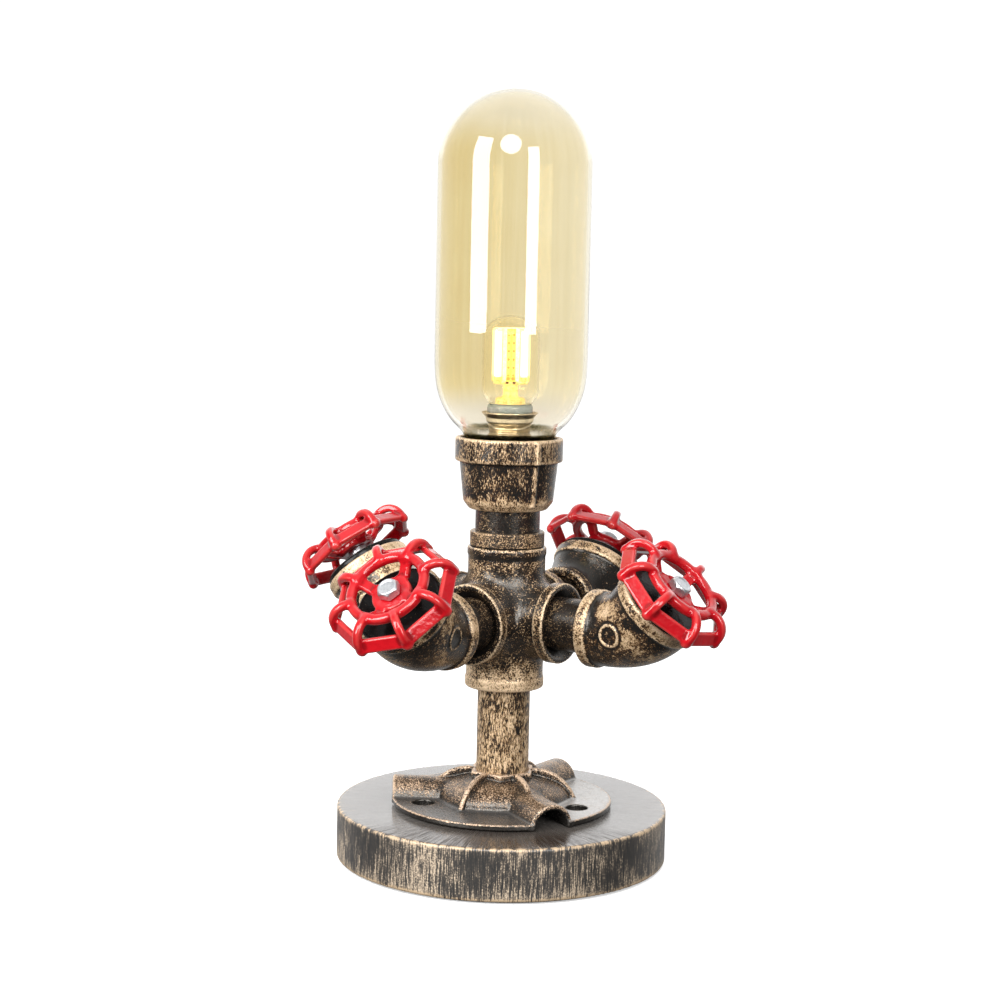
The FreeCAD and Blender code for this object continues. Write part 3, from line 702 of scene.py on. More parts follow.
def amber_glass(name, inside=False):
    """Amber glass, drawn in faint upright lines; painted light makes it deeper amber on one side and paler on the
    other; it fades to clear at the foot, with a painted dark band where the black seat ring would show through.
    """
    T = Tree(name)
    pc, r, z = polar_coords(T, 22.0, 0.0, 0.012)
    lines = T.noise(pc, 1.0, 4.0, 0.6)
    wav = T.noise(T.scaled(1000, 1000, 160), 0.10, 2.0, 0.5)
    n = T.noise(T.scaled(1000), 0.03, 2.0, 0.5)
    lw = T.n("ShaderNodeLayerWeight")
    lw.inputs["Blend"].default_value = 0.35
    edge = T.step(lw.outputs["Facing"], 0.25, 0.95)
    # painted light: the side facing this way is paler, and the other side is deeper amber
    dot = T.n("ShaderNodeVectorMath", operation="DOT_PRODUCT")
    T.link(T.co, dot.inputs[0])
    dot.inputs[1].default_value = (0.834, 0.552, 0.0)
    side = T.step(T.math("MULTIPLY", dot.outputs["Value"], 1000.0), -34.0, 34.0)
    line = T.step(T.math("ADD", T.math("MULTIPLY", lines, 0.6), T.math("MULTIPLY", n, 0.4)), 0.35, 0.65)
    painted_shade = T.mix(line, (0.850, 0.750, 0.500), (0.880, 0.800, 0.565))
    lit_pale = T.mix(line, (0.905, 0.840, 0.660), (0.925, 0.870, 0.710))
    body = T.mix(side, painted_shade, lit_pale)
    body = T.mix(T.math("MULTIPLY", edge, 0.6), body, (0.80, 0.69, 0.40))
    zz = T.math("MULTIPLY", z, 1000.0)
    foot = T.step(zz, 194.0, 180.0)
    body = T.mix(foot, body, (0.872, 0.832, 0.745))
    crown = T.step(zz, 284.0, 303.0)
    body = T.mix(T.math("MULTIPLY", crown, 0.8), body, (0.890, 0.845, 0.725))
    # painted refraction: a dark olive band low on the foot, standing for the black seat ring seen through the thick
    # glass
    seat = T.step(T.math("ADD", zz, T.math("MULTIPLY", lines, 0.8)), 174.6, 173.7)
    body = T.mix(seat, body, (0.10, 0.09, 0.045))
    T.set(Base_Color=body)
    T.bsdf.inputs["Transmission Weight"].default_value = 1.0
    T.bsdf.inputs["Roughness"].default_value = 0.0
    T.bsdf.inputs["IOR"].default_value = 1.58
    if inside:
        T.bsdf.inputs["Specular Tint"].default_value = (0, 0, 0, 1)
    else:
        behind = T.n("ShaderNodeNewGeometry").outputs["Backfacing"]
        T.link(T.mix(behind, (1.0, 1.0, 1.0), (0.22, 0.22, 0.22)), T.bsdf.inputs["Specular Tint"])
    T.set(Normal=T.bump(wav, 0.06, 0.0006))
    return T.mat


def clear_glass(name):
    T = Tree(name)
    mm = T.scaled(1000)
    n = T.noise(mm, 0.1, 2.0, 0.5)
    T.set(Base_Color=T.mix(n, (1.0, 0.97, 0.88), (1.0, 0.99, 0.94)))
    T.bsdf.inputs["Transmission Weight"].default_value = 1.0
    T.bsdf.inputs["Roughness"].default_value = 0.02
    T.bsdf.inputs["IOR"].default_value = 1.3
    T.set(Normal=T.bump(n, 0.05, 0.0004))
    return T.mat


def led(name):
    """Lit phosphor. Hot strips burn white along the middle; warm ones are a double row with dark joints."""
    T = Tree(name)
    sep = T.n("ShaderNodeSeparateXYZ")
    T.link(T.co, sep.inputs[0])
    zz = T.math("MULTIPLY", sep.outputs[2], 1000.0)
    u = T.attr("across")
    kind = T.attr("kind")
    au = T.math("ABSOLUTE", u)
    core = T.step(au, 1.0, 0.55)
    gr = T.noise(T.scaled(1000), 1.3, 4.0, 0.6)
    tip = T.math("ABSOLUTE", T.math("SUBTRACT", zz, 204.9))
    tip = T.math("ADD", tip, T.math("MULTIPLY", T.math("SUBTRACT", gr, 0.5), 7.0))
    core = T.math("MULTIPLY", core, T.step(tip, 10.3, 8.4))
    hotc = T.mix(core, (1.0, 0.90, 0.36), (1.0, 0.97, 0.80))
    hots = T.mixf(core, 1.6, 6.0)
    # warm: dark joints every 3.2 mm in the middle of each row, and a dull line between the rows
    ph = T.math("ABSOLUTE", T.math("SUBTRACT", T.math("FRACT", T.math("DIVIDE", zz, 3.2)), 0.5))
    ph = T.math("MULTIPLY", ph, 3.2)
    du = T.math("MULTIPLY", T.math("SUBTRACT", au, 0.52), 1.9)
    dd = T.math("SQRT", T.math("ADD", T.math("MULTIPLY", ph, ph), T.math("MULTIPLY", du, du)))
    rim = T.step(au, 0.80, 1.0)
    dot = T.step(dd, 0.62, 0.28)
    mid = T.step(au, 0.20, 0.02)
    warm = T.mix(T.step(gr, 0.3, 0.7), (1.0, 0.78, 0.22), (1.0, 0.90, 0.42))
    warm = T.mix(T.math("MULTIPLY", mid, 0.6), warm, (0.80, 0.50, 0.08))
    warm = T.mix(dot, warm, (0.34, 0.20, 0.03))
    warm = T.mix(rim, warm, (1.0, 0.94, 0.62))
    warms = T.mixf(rim, T.mixf(dot, 1.0, 0.5), 2.2)
    T.set(Base_Color=T.mix(kind, (0.9, 0.62, 0.12), (0.95, 0.82, 0.35)))
    # the foot of every strip is amber and dull, with dark joints
    foot = T.step(T.math("ADD", zz, T.math("MULTIPLY", T.math("SUBTRACT", gr, 0.5), 3.0)), 197.0, 195.4)
    spot = T.math("MULTIPLY", foot, T.step(T.noise(T.scaled(1000), 0.85, 2.0, 0.5), 0.52, 0.60))
    ecol = T.mix(T.math("MULTIPLY", foot, 0.9), T.mix(kind, warm, hotc), (0.95, 0.70, 0.24))
    ecol = T.mix(spot, ecol, (0.45, 0.24, 0.05))
    jz = T.math("SUBTRACT", zz, 195.5)
    ju = T.math("MULTIPLY", T.math("SUBTRACT", au, 0.52), 1.9)
    joint = T.step(T.math("SQRT", T.math("ADD", T.math("MULTIPLY", jz, jz), T.math("MULTIPLY", ju, ju))), 0.85, 0.50)
    joint = T.math("MULTIPLY", joint, T.step(kind, 0.5, 0.1))
    ecol = T.mix(joint, ecol, (0.12, 0.04, 0.01))
    T.set(Emission_Color=ecol)
    T.set(Emission_Strength=T.mixf(foot, T.mixf(kind, warms, hots), 0.95))
    T.set(Roughness=T.mixf(gr, 0.4, 0.6))
    T.set(Normal=T.bump(gr, 0.2, 0.0003))
    return T.mat


def lit_column(name):
    """White column that glows with the strips' light: amber at its foot, with two dark solder dots on each side."""
    T = Tree(name)
    sep = T.n("ShaderNodeSeparateXYZ")
    T.link(T.co, sep.inputs[0])
    x, y, z = sep.outputs
    zz = T.math("MULTIPLY", z, 1000.0)
    n = T.noise(T.scaled(1000), 0.9, 4.0, 0.65)
    up = T.step(T.math("ADD", zz, T.math("MULTIPLY", T.math("SUBTRACT", n, 0.5), 1.6)), 193.4, 195.2)
    amber = T.mix(T.step(n, 0.35, 0.65), (0.78, 0.54, 0.18), (1.0, 0.84, 0.42))
    lit_pale = T.mix(T.step(n, 0.3, 0.7), (1.0, 0.86, 0.40), (1.0, 0.95, 0.66))
    # dots repeat four times round the column
    ang = T.math("ARCTAN2", y, x)
    q = T.math("ADD", T.math("DIVIDE", ang, math.pi / 2), 56.5 / 90.0 + 4.5)
    q = T.math("MULTIPLY", T.math("SUBTRACT", T.math("FRACT", q), 0.5), 9.6)
    d = None
    for off in (-1.2, 1.2):
        a_ = T.math("SUBTRACT", q, off)
        b_ = T.math("SUBTRACT", zz, 193.9)
        e = T.math("SQRT", T.math("ADD", T.math("MULTIPLY", a_, a_), T.math("MULTIPLY", b_, b_)))
        d = e if d is None else T.math("MINIMUM", d, e)
    dot = T.step(d, 0.75, 0.35)
    col = T.mix(dot, T.mix(up, amber, lit_pale), (0.10, 0.035, 0.01))
    T.set(Base_Color=col)
    T.set(Emission_Color=col)
    T.set(Emission_Strength=T.mixf(dot, T.mixf(up, 0.85, 2.2), 0.2))
    T.set(Roughness=T.mixf(n, 0.4, 0.55))
    T.set(Normal=T.bump(n, 0.2, 0.0003))
    return T.mat


M = {
    "fitting": antique("antique_fitting", amount=-0.11, edge=1.0, brown=0.8, speck=1.3, gloss=0.15, grain_at=1.6, blot=1.15, spec=0.65, bump=0.45),
    "elbow": antique("antique_elbow", amount=-0.17, edge=1.0, brown=0.9, patch=90, grain_at=1.5, speck=1.0, gloss=0.15, blot=1.7, spec=0.65, bump=0.42),
    "flange": antique("antique_flange", amount=-0.22, edge=1.0, brown=1.0, speck=1.6, gold=(0.50, 0.345, 0.215), bump=0.50, grain_at=2.2, gloss=0.20, spec=0.80, lit_pale=(0.34, 0.33, 0.32)),
    "pipe": antique("antique_pipe", amount=0.13, edge=0.5, brown=0.9, speck=1.3, blot=1.3, streak=(1.0, 1.0, 0.25), bump=0.3),
    "collar": antique("antique_collar", amount=-0.26, edge=0.9, brown=1.0, speck=1.4, bump=0.3, grain_at=1.8, gold=(0.56, 0.385, 0.215)),
    "reducer": antique("antique_reducer", amount=-0.20, edge=1.0, speck=1.2, gloss=0.20, grain_at=2.2, blot=1.2, spec=0.55, brown=0.8, streak=(1.0, 1.0, 0.32)),
    "black": antique("blackened_pipe", amount=-0.50, edge=0.5, brown=0.4, gloss=0.24, bump=0.35),
    "base": wood_base("antique_base"),
    "red": red_enamel("red_gloss"),
    "zinc": zinc("zinc_plate"),
    "brass": brass("brass_polished"),
    "cap": brass("bulb_cap_brass", (0.86, 0.76, 0.58), 0.34),
    "plug": plug_paint("plug_black"),
    "rubber": plastic("black_rubber_matt", (0.015, 0.015, 0.015), 0.6, 0.4, 2.0),
    "felt": felt("black_felt"),
    "white": plastic("white_plastic_matt", (0.80, 0.80, 0.77), 0.45, 0.03),
    "bakelite": plastic("black_bakelite_gloss", (0.020, 0.018, 0.015), 0.3, 0.3),
    "grey": plastic("bulb_grey_plastic", (0.34, 0.40, 0.46), 0.14, 0.08),
    "stem": lit_column("bulb_stem_lit"),
    "brown_wire": plastic("wire_brown_pvc", (0.20, 0.08, 0.03), 0.4, 0.15),
    "blue_wire": plastic("wire_blue_pvc", (0.03, 0.08, 0.40), 0.4, 0.15),
    "glass": amber_glass("amber_clear_glass"),
    "glass_inside": amber_glass("amber_clear_glass_inside", True),
    "bulb_glass": clear_glass("bulb_clear_glass"),
    "led": led("led_phosphor"),
}

CAD_LOOK = {
    "foot_pad": "felt", "cord_grommet": "rubber", "terminal_block": "white", "stem_washer": "zinc", "stem_locknut": "zinc",
    "wheel_spacers": "zinc", "glass_seat_ring": "rubber", "holder_disc": "zinc", "holder_tube": "zinc", "holder_nut": "zinc",
    "lampholder_body": "bakelite", "lampholder_shell": "brass", "centre_contact": "brass", "live_wire": "brown_wire",
    "neutral_wire": "blue_wire",
}
for node, look in CAD_LOOK.items():
    ob = NODES[node]
    ob.data.materials.clear()
    ob.data.materials.append(M[look])


# ==================================================================== pieces
def cyl_field(P, axis, R, a0, a1, rr=0.5):
    r = length(*[P[:, i] for i in range(3) if i != axis])
    return disc(r, P[:, axis], R, a0, a1, rr)


# ---- base disc
cq = math.radians(CORD_ANGLE)
CD = np.array([math.cos(cq), math.sin(cq)])


def base_field(P):
    r = length(P[:, 0], P[:, 1])
    z = P[:, 2]
    prof = disc(r, z, BASE_R, PAD_T, BASE_TOP, 0.8)
    prof = smax(prof, -disc(r, z, RECESS_R, -10, RECESS_TOP, 0.4), 0.3)
    prof = np.maximum(prof, STEM_HOLE_R - r)
    along = P[:, 0] * CD[0] + P[:, 1] * CD[1]
    across = -P[:, 0] * CD[1] + P[:, 1] * CD[0]
    rc = length(across, z - CORD_Z)
    hole = np.maximum(rc - 4.0, 30.0 - along)
    spot = np.maximum(rc - SPOT_R, SPOT_AT - along)
    return np.maximum(prof, -np.minimum(hole, spot))


hb = 0.85
P, F = surface(base_field, (-68, -68, 0), (68, 68, 23), hb, 2)
make("base_disc_look", P, F, "lamp_frame", M["base"], ["base_disc"], scales=(2.0, 8.0))


# ---- floor flange
def flange_field(P):
    x, y, z = P.T
    r = length(x, y)
    plate = disc(r, z, FL_R, FL_RIM_BOTTOM, FL_TOP, 0.4)
    pad = disc(r, z, FL_PAD_R, BASE_TOP, FL_TOP - 0.4, 0.3)
    f = np.minimum(plate, pad)
    hexd = np.zeros_like(r)
    for a in (0, 60, 120):
        q = math.radians(a)
        hexd = np.maximum(hexd, np.abs(x * math.cos(q) + y * math.sin(q)))
    u = hexd * 0.62 + r * 0.38 * 0.955
    n = 2.35
    zz = np.maximum(z - 24.2, 0.0)
    a_, b_ = 25.4, 10.6
    S = (np.maximum(u, 1e-3) / a_) ** n + (zz / b_) ** n
    g = S ** (1 / n)
    du = S ** (1 / n - 1) * np.maximum(u, 1e-3) ** (n - 1) / a_ ** n
    dz = S ** (1 / n - 1) * zz ** (n - 1) / b_ ** n
    dome = (g - 1) / np.maximum(length(du, dz), 0.02)
    dome = np.maximum(dome, 23.0 - z)
    f = smin(f, dome, 1.6)
    # ribs
    th = np.arctan2(y, x)
    k = np.round((th - math.radians(30)) / math.radians(60))
    d = th - (math.radians(30) + k * math.radians(60))
    rx, ry = r * np.cos(d), r * np.sin(d)
    rp = [(11.0, 30.0), (11.8, 36.6), (14.0, 36.9), (18.0, 36.25), (22.0, 34.8), (25.4, 32.2), (28.3, 28.9), (30.3, 25.2), (30.3, 23.6), (18.0, 23.6)]
    d2 = poly(rp, rx, z)
    rr = 1.0
    e1, e2 = d2 + rr, np.abs(ry) - 1.05 + rr
    rib = length(np.maximum(e1, 0), np.maximum(e2, 0)) + np.minimum(np.maximum(e1, e2), 0) - rr
    f = smin(f, rib, 0.45)
    # hexagonal collar round the stem
    hq = np.zeros_like(r)
    for a in (30, 90, 150):
        q = math.radians(a)
        hq = np.maximum(hq, np.abs(x * math.cos(q) + y * math.sin(q)))
    col = rect(hq, z - 32.0, COLLAR_APO, COLLAR_Z1 - 32.0, 0.5)
    f = smin(f, col, 0.6)
    # arched conduits
    k = np.round((th - math.radians(-30)) / math.radians(120))
    d = th - (math.radians(-30) + k * math.radians(120))
    tx, ty = r * np.cos(d), r * np.sin(d)
    rt = length(ty, z - TUNNEL_Z)
    tun = smax(rt - TUNNEL_R, tx - np.sqrt(np.maximum(FL_R ** 2 - ty ** 2, 1)), 0.9)
    tun = np.maximum(tun, 20.0 - tx)
    tun = np.maximum(tun, FL_RIM_BOTTOM - z)
    f = smin(f, tun, 1.1)
    bore = np.maximum(rt - TUNNEL_BORE, (FL_R - 19.5) - tx)
    f = smax(f, -bore, 0.35)
    for a in HOLE_ANGLES:
        q = math.radians(a)
        hole = length(x - HOLE_AT * math.cos(q), y - HOLE_AT * math.sin(q)) - HOLE_R
        f = smax(f, -hole, 0.5)
    return np.maximum(f, PIPE_R - r)


hf = 0.5
P, F = surface(flange_field, (-46, -46, 21), (46, 46, 38.2), hf, 3)
r_ = np.hypot(P[:, 0], P[:, 1])
th_ = np.degrees(np.arctan2(P[:, 1], P[:, 0]))
dark = np.zeros(len(P))
for a in TUNNEL_ANGLES:
    q = math.radians(a)
    al, ac = P[:, 0] * math.cos(q) + P[:, 1] * math.sin(q), -P[:, 0] * math.sin(q) + P[:, 1] * math.cos(q)
    rt = np.hypot(ac, P[:, 2] - TUNNEL_Z)
    dark = np.where((rt < TUNNEL_BORE + 0.45) & (al > FL_R - 20.0), 3.0, dark)
for a in HOLE_ANGLES:
    q = math.radians(a)
    d_ = np.hypot(P[:, 0] - HOLE_AT * math.cos(q), P[:, 1] - HOLE_AT * math.sin(q))
    dark = np.maximum(dark, 3.0 * ease(HOLE_R + 0.5 - d_, 0.0, 0.4))
dark = np.maximum(dark, 1.2 * ease(FL_TOP - 0.45 - P[:, 2], 0.0, 0.5))
gain = 0.28 * ease(P[:, 2], FL_TOP + 1.0, FL_TOP + 5.0) - 0.12
# less gold on the plate's right, where the painted sheen lies
gain -= 0.22 * ease(np.cos(np.radians(th_ - 20.0)), 0.2, 0.8) * ease(FL_TOP + 0.6 - P[:, 2], 0.0, 0.4)
flat = ease(FL_TOP + 0.9 - P[:, 2], 0.0, 0.7) * ease(P[:, 2], FL_TOP - 0.5, FL_TOP - 0.1) * (dark < 0.5)
gain = gain - 0.35 * flat * ease(np.cos(np.radians(th_ + 80.0)), 0.2, 0.7)
rim_ = ease(np.hypot(P[:, 0], P[:, 1]), 42.9, 43.7)
gain = gain - 0.6 * rim_ * ease(P[:, 2], FL_TOP - 0.35, FL_TOP - 0.75)
gain = gain - 0.4 * rim_ * ease(P[:, 2], FL_TOP + 0.4, FL_TOP + 1.2) * ease(np.cos(np.radians(th_ + 30.0)), 0.8, 0.95)
ob = make("floor_flange_look", P, F, "lamp_frame", M["flange"], ["floor_flange"], scales=(0.9, 7.0), extra=gain - dark)
# painted sheen: the plate's flat top is marked for pale grey, most on its right side, where the backdrop's glancing
# reflection would light it
lit_pale = flat * (0.12 + 0.88 * ease(np.cos(np.radians(th_ - 24.0)), 0.35, 0.85))
at = ob.data.attributes.new("lit_pale", "FLOAT", "POINT")
at.data.foreach_set("value", lit_pale.astype(np.float32))

# ---- stem pipe
V_, F_ = lathe(round_poly([(8.0, STEM_Z0), (PIPE_R, STEM_Z0, 0.3), (PIPE_R, STEM_Z1, 0.3), (8.0, STEM_Z1)]), 128, 0.8)
make("stem_pipe_look", V_, F_, "lamp_frame", M["pipe"], ["stem_pipe"])


# ---- six-way cross
def cross_field(P):
    x, y, z = P.T
    r = length(x, y)
    f = disc(r, z, CR_VR, CR_Z0, CR_Z1, 1.0)
    zz = z - CR_Z
    arms = None
    for a, b in ((x, y), (y, x)):
        t = disc(length(b, zz), a, CR_HR, -CR_FACE, CR_FACE, 0.8)
        arms = t if arms is None else smin(arms, t, 5.0)
    f = smin(f, arms, 6.5)
    # the sockets' beads
    for a, b in ((x, y), (y, x)):
        t = disc(length(b, zz), np.abs(a), CR_BAND_R, CR_FACE - CR_BAND_W, CR_FACE, 0.6)
        f = smin(f, t, 0.7)
    lip = disc(r, z, CR_VR + 0.25, CR_Z1 - 3.2, CR_Z1, 0.7)
    lip2 = disc(r, z, CR_VR + 0.25, CR_Z0, CR_Z0 + 4.4, 0.9)
    f = smin(smin(f, lip, 0.9), lip2, 0.9)
    # bores with chamfered mouths
    bore = r - 8.0
    bore = np.minimum(bore, np.maximum(r - (PIPE_R + 0.02), z - STEM_Z1))
    bore = np.minimum(bore, np.maximum(r - (PIPE_R + 1.3 - (z - CR_Z0)), z - (CR_Z0 + 1.3)) )
    bore = np.minimum(bore, np.maximum(r - 13.02, 118.0 - z))
    for a, b in ((x, y), (y, x)):
        ra = length(b, zz)
        aa = np.abs(a)
        bore = np.minimum(bore, ra - 8.0)
        bore = np.minimum(bore, np.maximum(ra - (PIPE_R + 0.02), (CR_FACE - 9.0) - aa))
        bore = np.minimum(bore, np.maximum(ra - (PIPE_R + 3.5 + 1.05 * (aa - CR_FACE)), (CR_FACE - 3.4) - aa))
    return smax(f, -bore, 0.25)


hc = 0.52
P, F = surface(cross_field, (-28.6, -28.6, 69.6), (28.6, 28.6, 129.2), hc, 3)
vr = np.hypot(P[:, 0], P[:, 1])
gain = 0.50 * ease(P[:, 2], 87.5, 82.0) * ease(vr, 18.5, 16.5) + 0.08 * ease(P[:, 2], 110.0, 116.0)
for a, b in ((0, 1), (1, 0)):
    ra = np.hypot(P[:, b], P[:, 2] - CR_Z)
    gain -= 0.75 * ease(np.abs(P[:, a]), CR_FACE - 0.45, CR_FACE - 0.15) * ease(ra, CR_BAND_R - 0.25, CR_BAND_R - 0.75)
    gain -= 0.12 * ease(np.abs(P[:, a]), CR_FACE - CR_BAND_W, CR_FACE - CR_BAND_W + 0.5)
lipz = ease(P[:, 2], CR_Z1 - 4.6, CR_Z1 - 3.8) * ease(P[:, 2], CR_Z1 - 0.7, CR_Z1 - 1.3)
gain -= 0.45 * lipz
gain -= 0.45 * ease(P[:, 2], CR_Z1 - 1.6, CR_Z1 - 0.9) + 0.35 * ease(P[:, 2], CR_Z1 - 5.2, CR_Z1 - 4.2) * ease(P[:, 2], CR_Z1 - 2.0, CR_Z1 - 2.8)
gain = np.where((P[:, 2] > CR_Z1 - 0.25) & (vr < CR_VR - 0.8), -1.2, gain)
for a, b in ((0, 1), (1, 0)):
    ra = np.hypot(P[:, b], P[:, 2] - CR_Z)
    inside = (ra < 14.0 + 0.9 * (np.abs(P[:, a]) - CR_FACE)) & (np.abs(P[:, a]) > CR_FACE - 9.2) & (ra < 14.15)
    gain = np.where(inside & (np.abs(P[:, a]) < CR_FACE - 0.25), -1.2, gain)
make("six_way_cross_look", P, F, "lamp_frame", M["fitting"], ["six_way_cross"], scales=(0.9, 7.0), extra=gain)


# ---- side arms
def elbow_field_maker(rise):
    A = math.radians(rise)
    t = 12.5
    rho = t / math.tan(A / 2)
    x0 = EL_IN + EL_A - t
    n = np.array([math.cos(A), math.sin(A)])
    m = np.array([-math.sin(A), math.cos(A)])
    end = np.array([x0 + rho * math.sin(A), rho - rho * math.cos(A)])
    face = np.array([EL_IN + EL_A, 0.0]) + n * EL_A

    def field(P):
        x, y, z = P[:, 0], P[:, 1], P[:, 2] - CR_Z
        q = np.arctan2(x - x0, rho - z)
        pe = (x - end[0]) * n[0] + (z - end[1]) * n[1]
        w_arc = rho - length(x - x0, z - rho)
        w_out = (x - end[0]) * m[0] + (z - end[1]) * m[1]
        w = np.where(x < x0, z, np.where(pe > 0, w_out, w_arc))
        s = np.where(x < x0, x - x0, np.where(pe > 0, rho * A + pe, rho * np.clip(q, 0, A)))
        total = rho * A + float((face - end) @ n)
        k = np.clip((s + 1.0) / (total - 3.0), 0, 1)
        k = k * k * (3 - 2 * k)
        R = 14.35 + 3.25 * k
        d = length(w, y)
        f = d - R
        fo = (x - face[0]) * n[0] + (z - face[1]) * n[1]
        f = np.maximum(np.maximum(f, EL_IN + 0.3 - x), fo + 0.4)
        body = f
        # inlet and outlet beads
        b1 = disc(length(y, z), x, EL_IN_R, EL_IN, EL_IN + EL_IN_W, 0.9)
        om = (x - face[0]) * m[0] + (z - face[1]) * m[1]
        ro = length(om, y)
        b2 = disc(ro, fo, EL_OUT_R, -EL_OUT_W, 0.0, 0.8)
        f = smin(f, b1, 0.8)
        f = smin(f, b2, 0.8)
        # plain raised ring on each cheek
        cx, cz = 57.5, 0.7
        rc = length(x - cx, z - cz)
        pad = np.maximum(np.maximum(body - 0.45, np.abs(rc - 4.2) - 0.42), 8.0 - np.abs(y))
        f = smin(f, pad, 0.5)
        ri = length(y, z)
        bore = np.maximum(ri - (PIPE_R + 0.02), x - (EL_IN + 9))
        bore = np.minimum(bore, np.maximum(ri - (PIPE_R + 1.6 - (x - EL_IN)), x - (EL_IN + 1.6)))
        bore = np.minimum(bore, np.maximum(ro - 13.32, -(fo + 11.5)))
        bore = np.minimum(bore, d - 8.2)
        return smax(f, -bore, 0.25)
    return field, n, face


he = 0.62
nip = lathe(round_poly([(8.0, 18.3), (PIPE_R, 18.3, 0.3), (PIPE_R, 50.0, 0.3), (8.0, 50.0)]), 96, 0.7)


def wheel_field(P):
    x, y, w = P.T
    r = length(x, y)
    th = np.arctan2(y, x)
    hub = disc(r, w, 8.0, 5.6, 8.9, 1.1)
    ring = rect(r - 14.8, w - 11.75, 1.85, 1.9, 1.45)
    f = smin(hub, ring, 0.6)
    # four spokes
    k = np.round(th / (math.pi / 2))
    d = th - k * math.pi / 2
    sx, sy = r * np.cos(d), r * np.sin(d)
    line = [(6.0, 7.3), (9.4, 7.7), (14.3, 11.6)]
    dd = None
    for (ax, aw), (bx, bw) in zip(line, line[1:]):
        ex, ew = bx - ax, bw - aw
        t = np.clip(((sx - ax) * ex + (w - aw) * ew) / (ex * ex + ew * ew), 0, 1)
        q = length(sx - ax - ex * t, w - aw - ew * t)
        dd = q if dd is None else np.minimum(dd, q)
    e1, e2 = dd - 1.25 + 0.95, np.abs(sy) - 2.3 + 0.95
    spoke = length(np.maximum(e1, 0), np.maximum(e2, 0)) + np.minimum(np.maximum(e1, e2), 0) - 0.95
    f = smin(f, spoke, 1.7)
    # eight hooped ribs
    k = np.round(th / (math.pi / 4))
    d = th - k * math.pi / 4
    rx, ry = r * np.cos(d), r * np.sin(d)
    hr, hw, rm = 18.0, 6.6, 6.45
    ang = np.arctan2(rx - hr, w - hw)
    arc = np.abs(length(rx - hr, w - hw) - rm)
    a0, a1 = math.atan2(14.9 - hr, 12.2 - hw), math.pi / 2
    p0 = (hr + rm * math.sin(a0), hw + rm * math.cos(a0))
    before = length(rx - p0[0], w - p0[1])
    t = np.clip((hw - w) / 2.2, 0, 1)
    after = length(rx - (hr + rm) - 0.15 * t, w - (hw - 2.2 * t))
    dr = np.where(ang < a0, before, np.where(ang > a1, after, arc))
    e1, e2 = dr - 1.62 + 1.25, np.abs(ry) - 1.65 + 1.25
    rib = length(np.maximum(e1, 0), np.maximum(e2, 0)) + np.minimum(np.maximum(e1, e2), 0) - 1.25
    # eight straight bars between the feet
    k = np.round((th - math.pi / 8) / (math.pi / 4))
    d = th - (math.pi / 8 + k * math.pi / 4)
    bx = r * np.cos(d)
    cu, cw = bx - 21.95, w - 6.4
    ca, sa = 0.518, -0.857
    u, v = cu * ca + cw * sa, -cu * sa + cw * ca
    bar = rect(u, v, 2.75, 1.2, 0.85)
    f = smin(f, smin(rib, bar, 1.5), 1.3)
    return smax(f, 2.58 - r, 0.3)


hw_ = 0.42
WP, WF = surface(wheel_field, (-28, -28, 2.0), (28, 28, 16.0), hw_, 3)
print("wheel verts", len(WP), "box", WP.min(0).round(2), WP.max(0).round(2))


def onto(P, rise, spin=0.0, lift=0.0):
    q = math.radians(rise)
    n = np.array([math.cos(q), 0, math.sin(q)])
    face = np.array([EL_IN + EL_A, 0, CR_Z]) + n * EL_A
    R = rot("Y", 90 - rise) @ rot("Z", spin)
    return P @ R.T + face + n * lift


def hexd(x, y, turn):
    h = None
    for a in (0, 60, 120):
        q = math.radians(a + turn)
        v = np.abs(x * math.cos(q) + y * math.sin(q))
        h = v if h is None else np.maximum(h, v)
    return h


def bolt_field(P):
    x, y, w = P.T
    r = length(x, y)
    h = hexd(x, y, 0)
    head = rect(h, w - (HEAD_W0 + HEAD_T / 2), 4.0, HEAD_T / 2, 0.28)
    cone = (r - 4.1 + (w - (HEAD_W0 + HEAD_T - 0.55)) * 0.9) * 0.74
    head = smax(head, cone, 0.2)
    cup = length(np.maximum(r - 2.5, 0), (w - (HEAD_W0 + HEAD_T + 0.15)))
    head = smax(head, -(cup - 0.45), 0.25)
    shank = disc(r, w, 2.5, 1.0, HEAD_W0 + 1.0, 0.1)
    return np.minimum(head, shank)


BP, BF = surface(bolt_field, (-5.2, -5.2, 0.4), (5.2, 5.2, 13.6), 0.26, 2)

plug_prof = round_poly([(2.55, 0.02), (PLUG_R, 0.02, 0.3), (PLUG_R, PLUG_T, 1.2), (2.55, PLUG_T)])
plug_prof = round_poly([(2.55, -3.0), (10.5, -3.0), (10.5, -9.0), (13.28, -9.0, 0.3), (13.28, 0.02), (PLUG_R, 0.02, 0.3),
                        (PLUG_R, PLUG_T, 1.25), (2.55, PLUG_T)])
PV, PF = lathe(plug_prof, 112, 0.6)

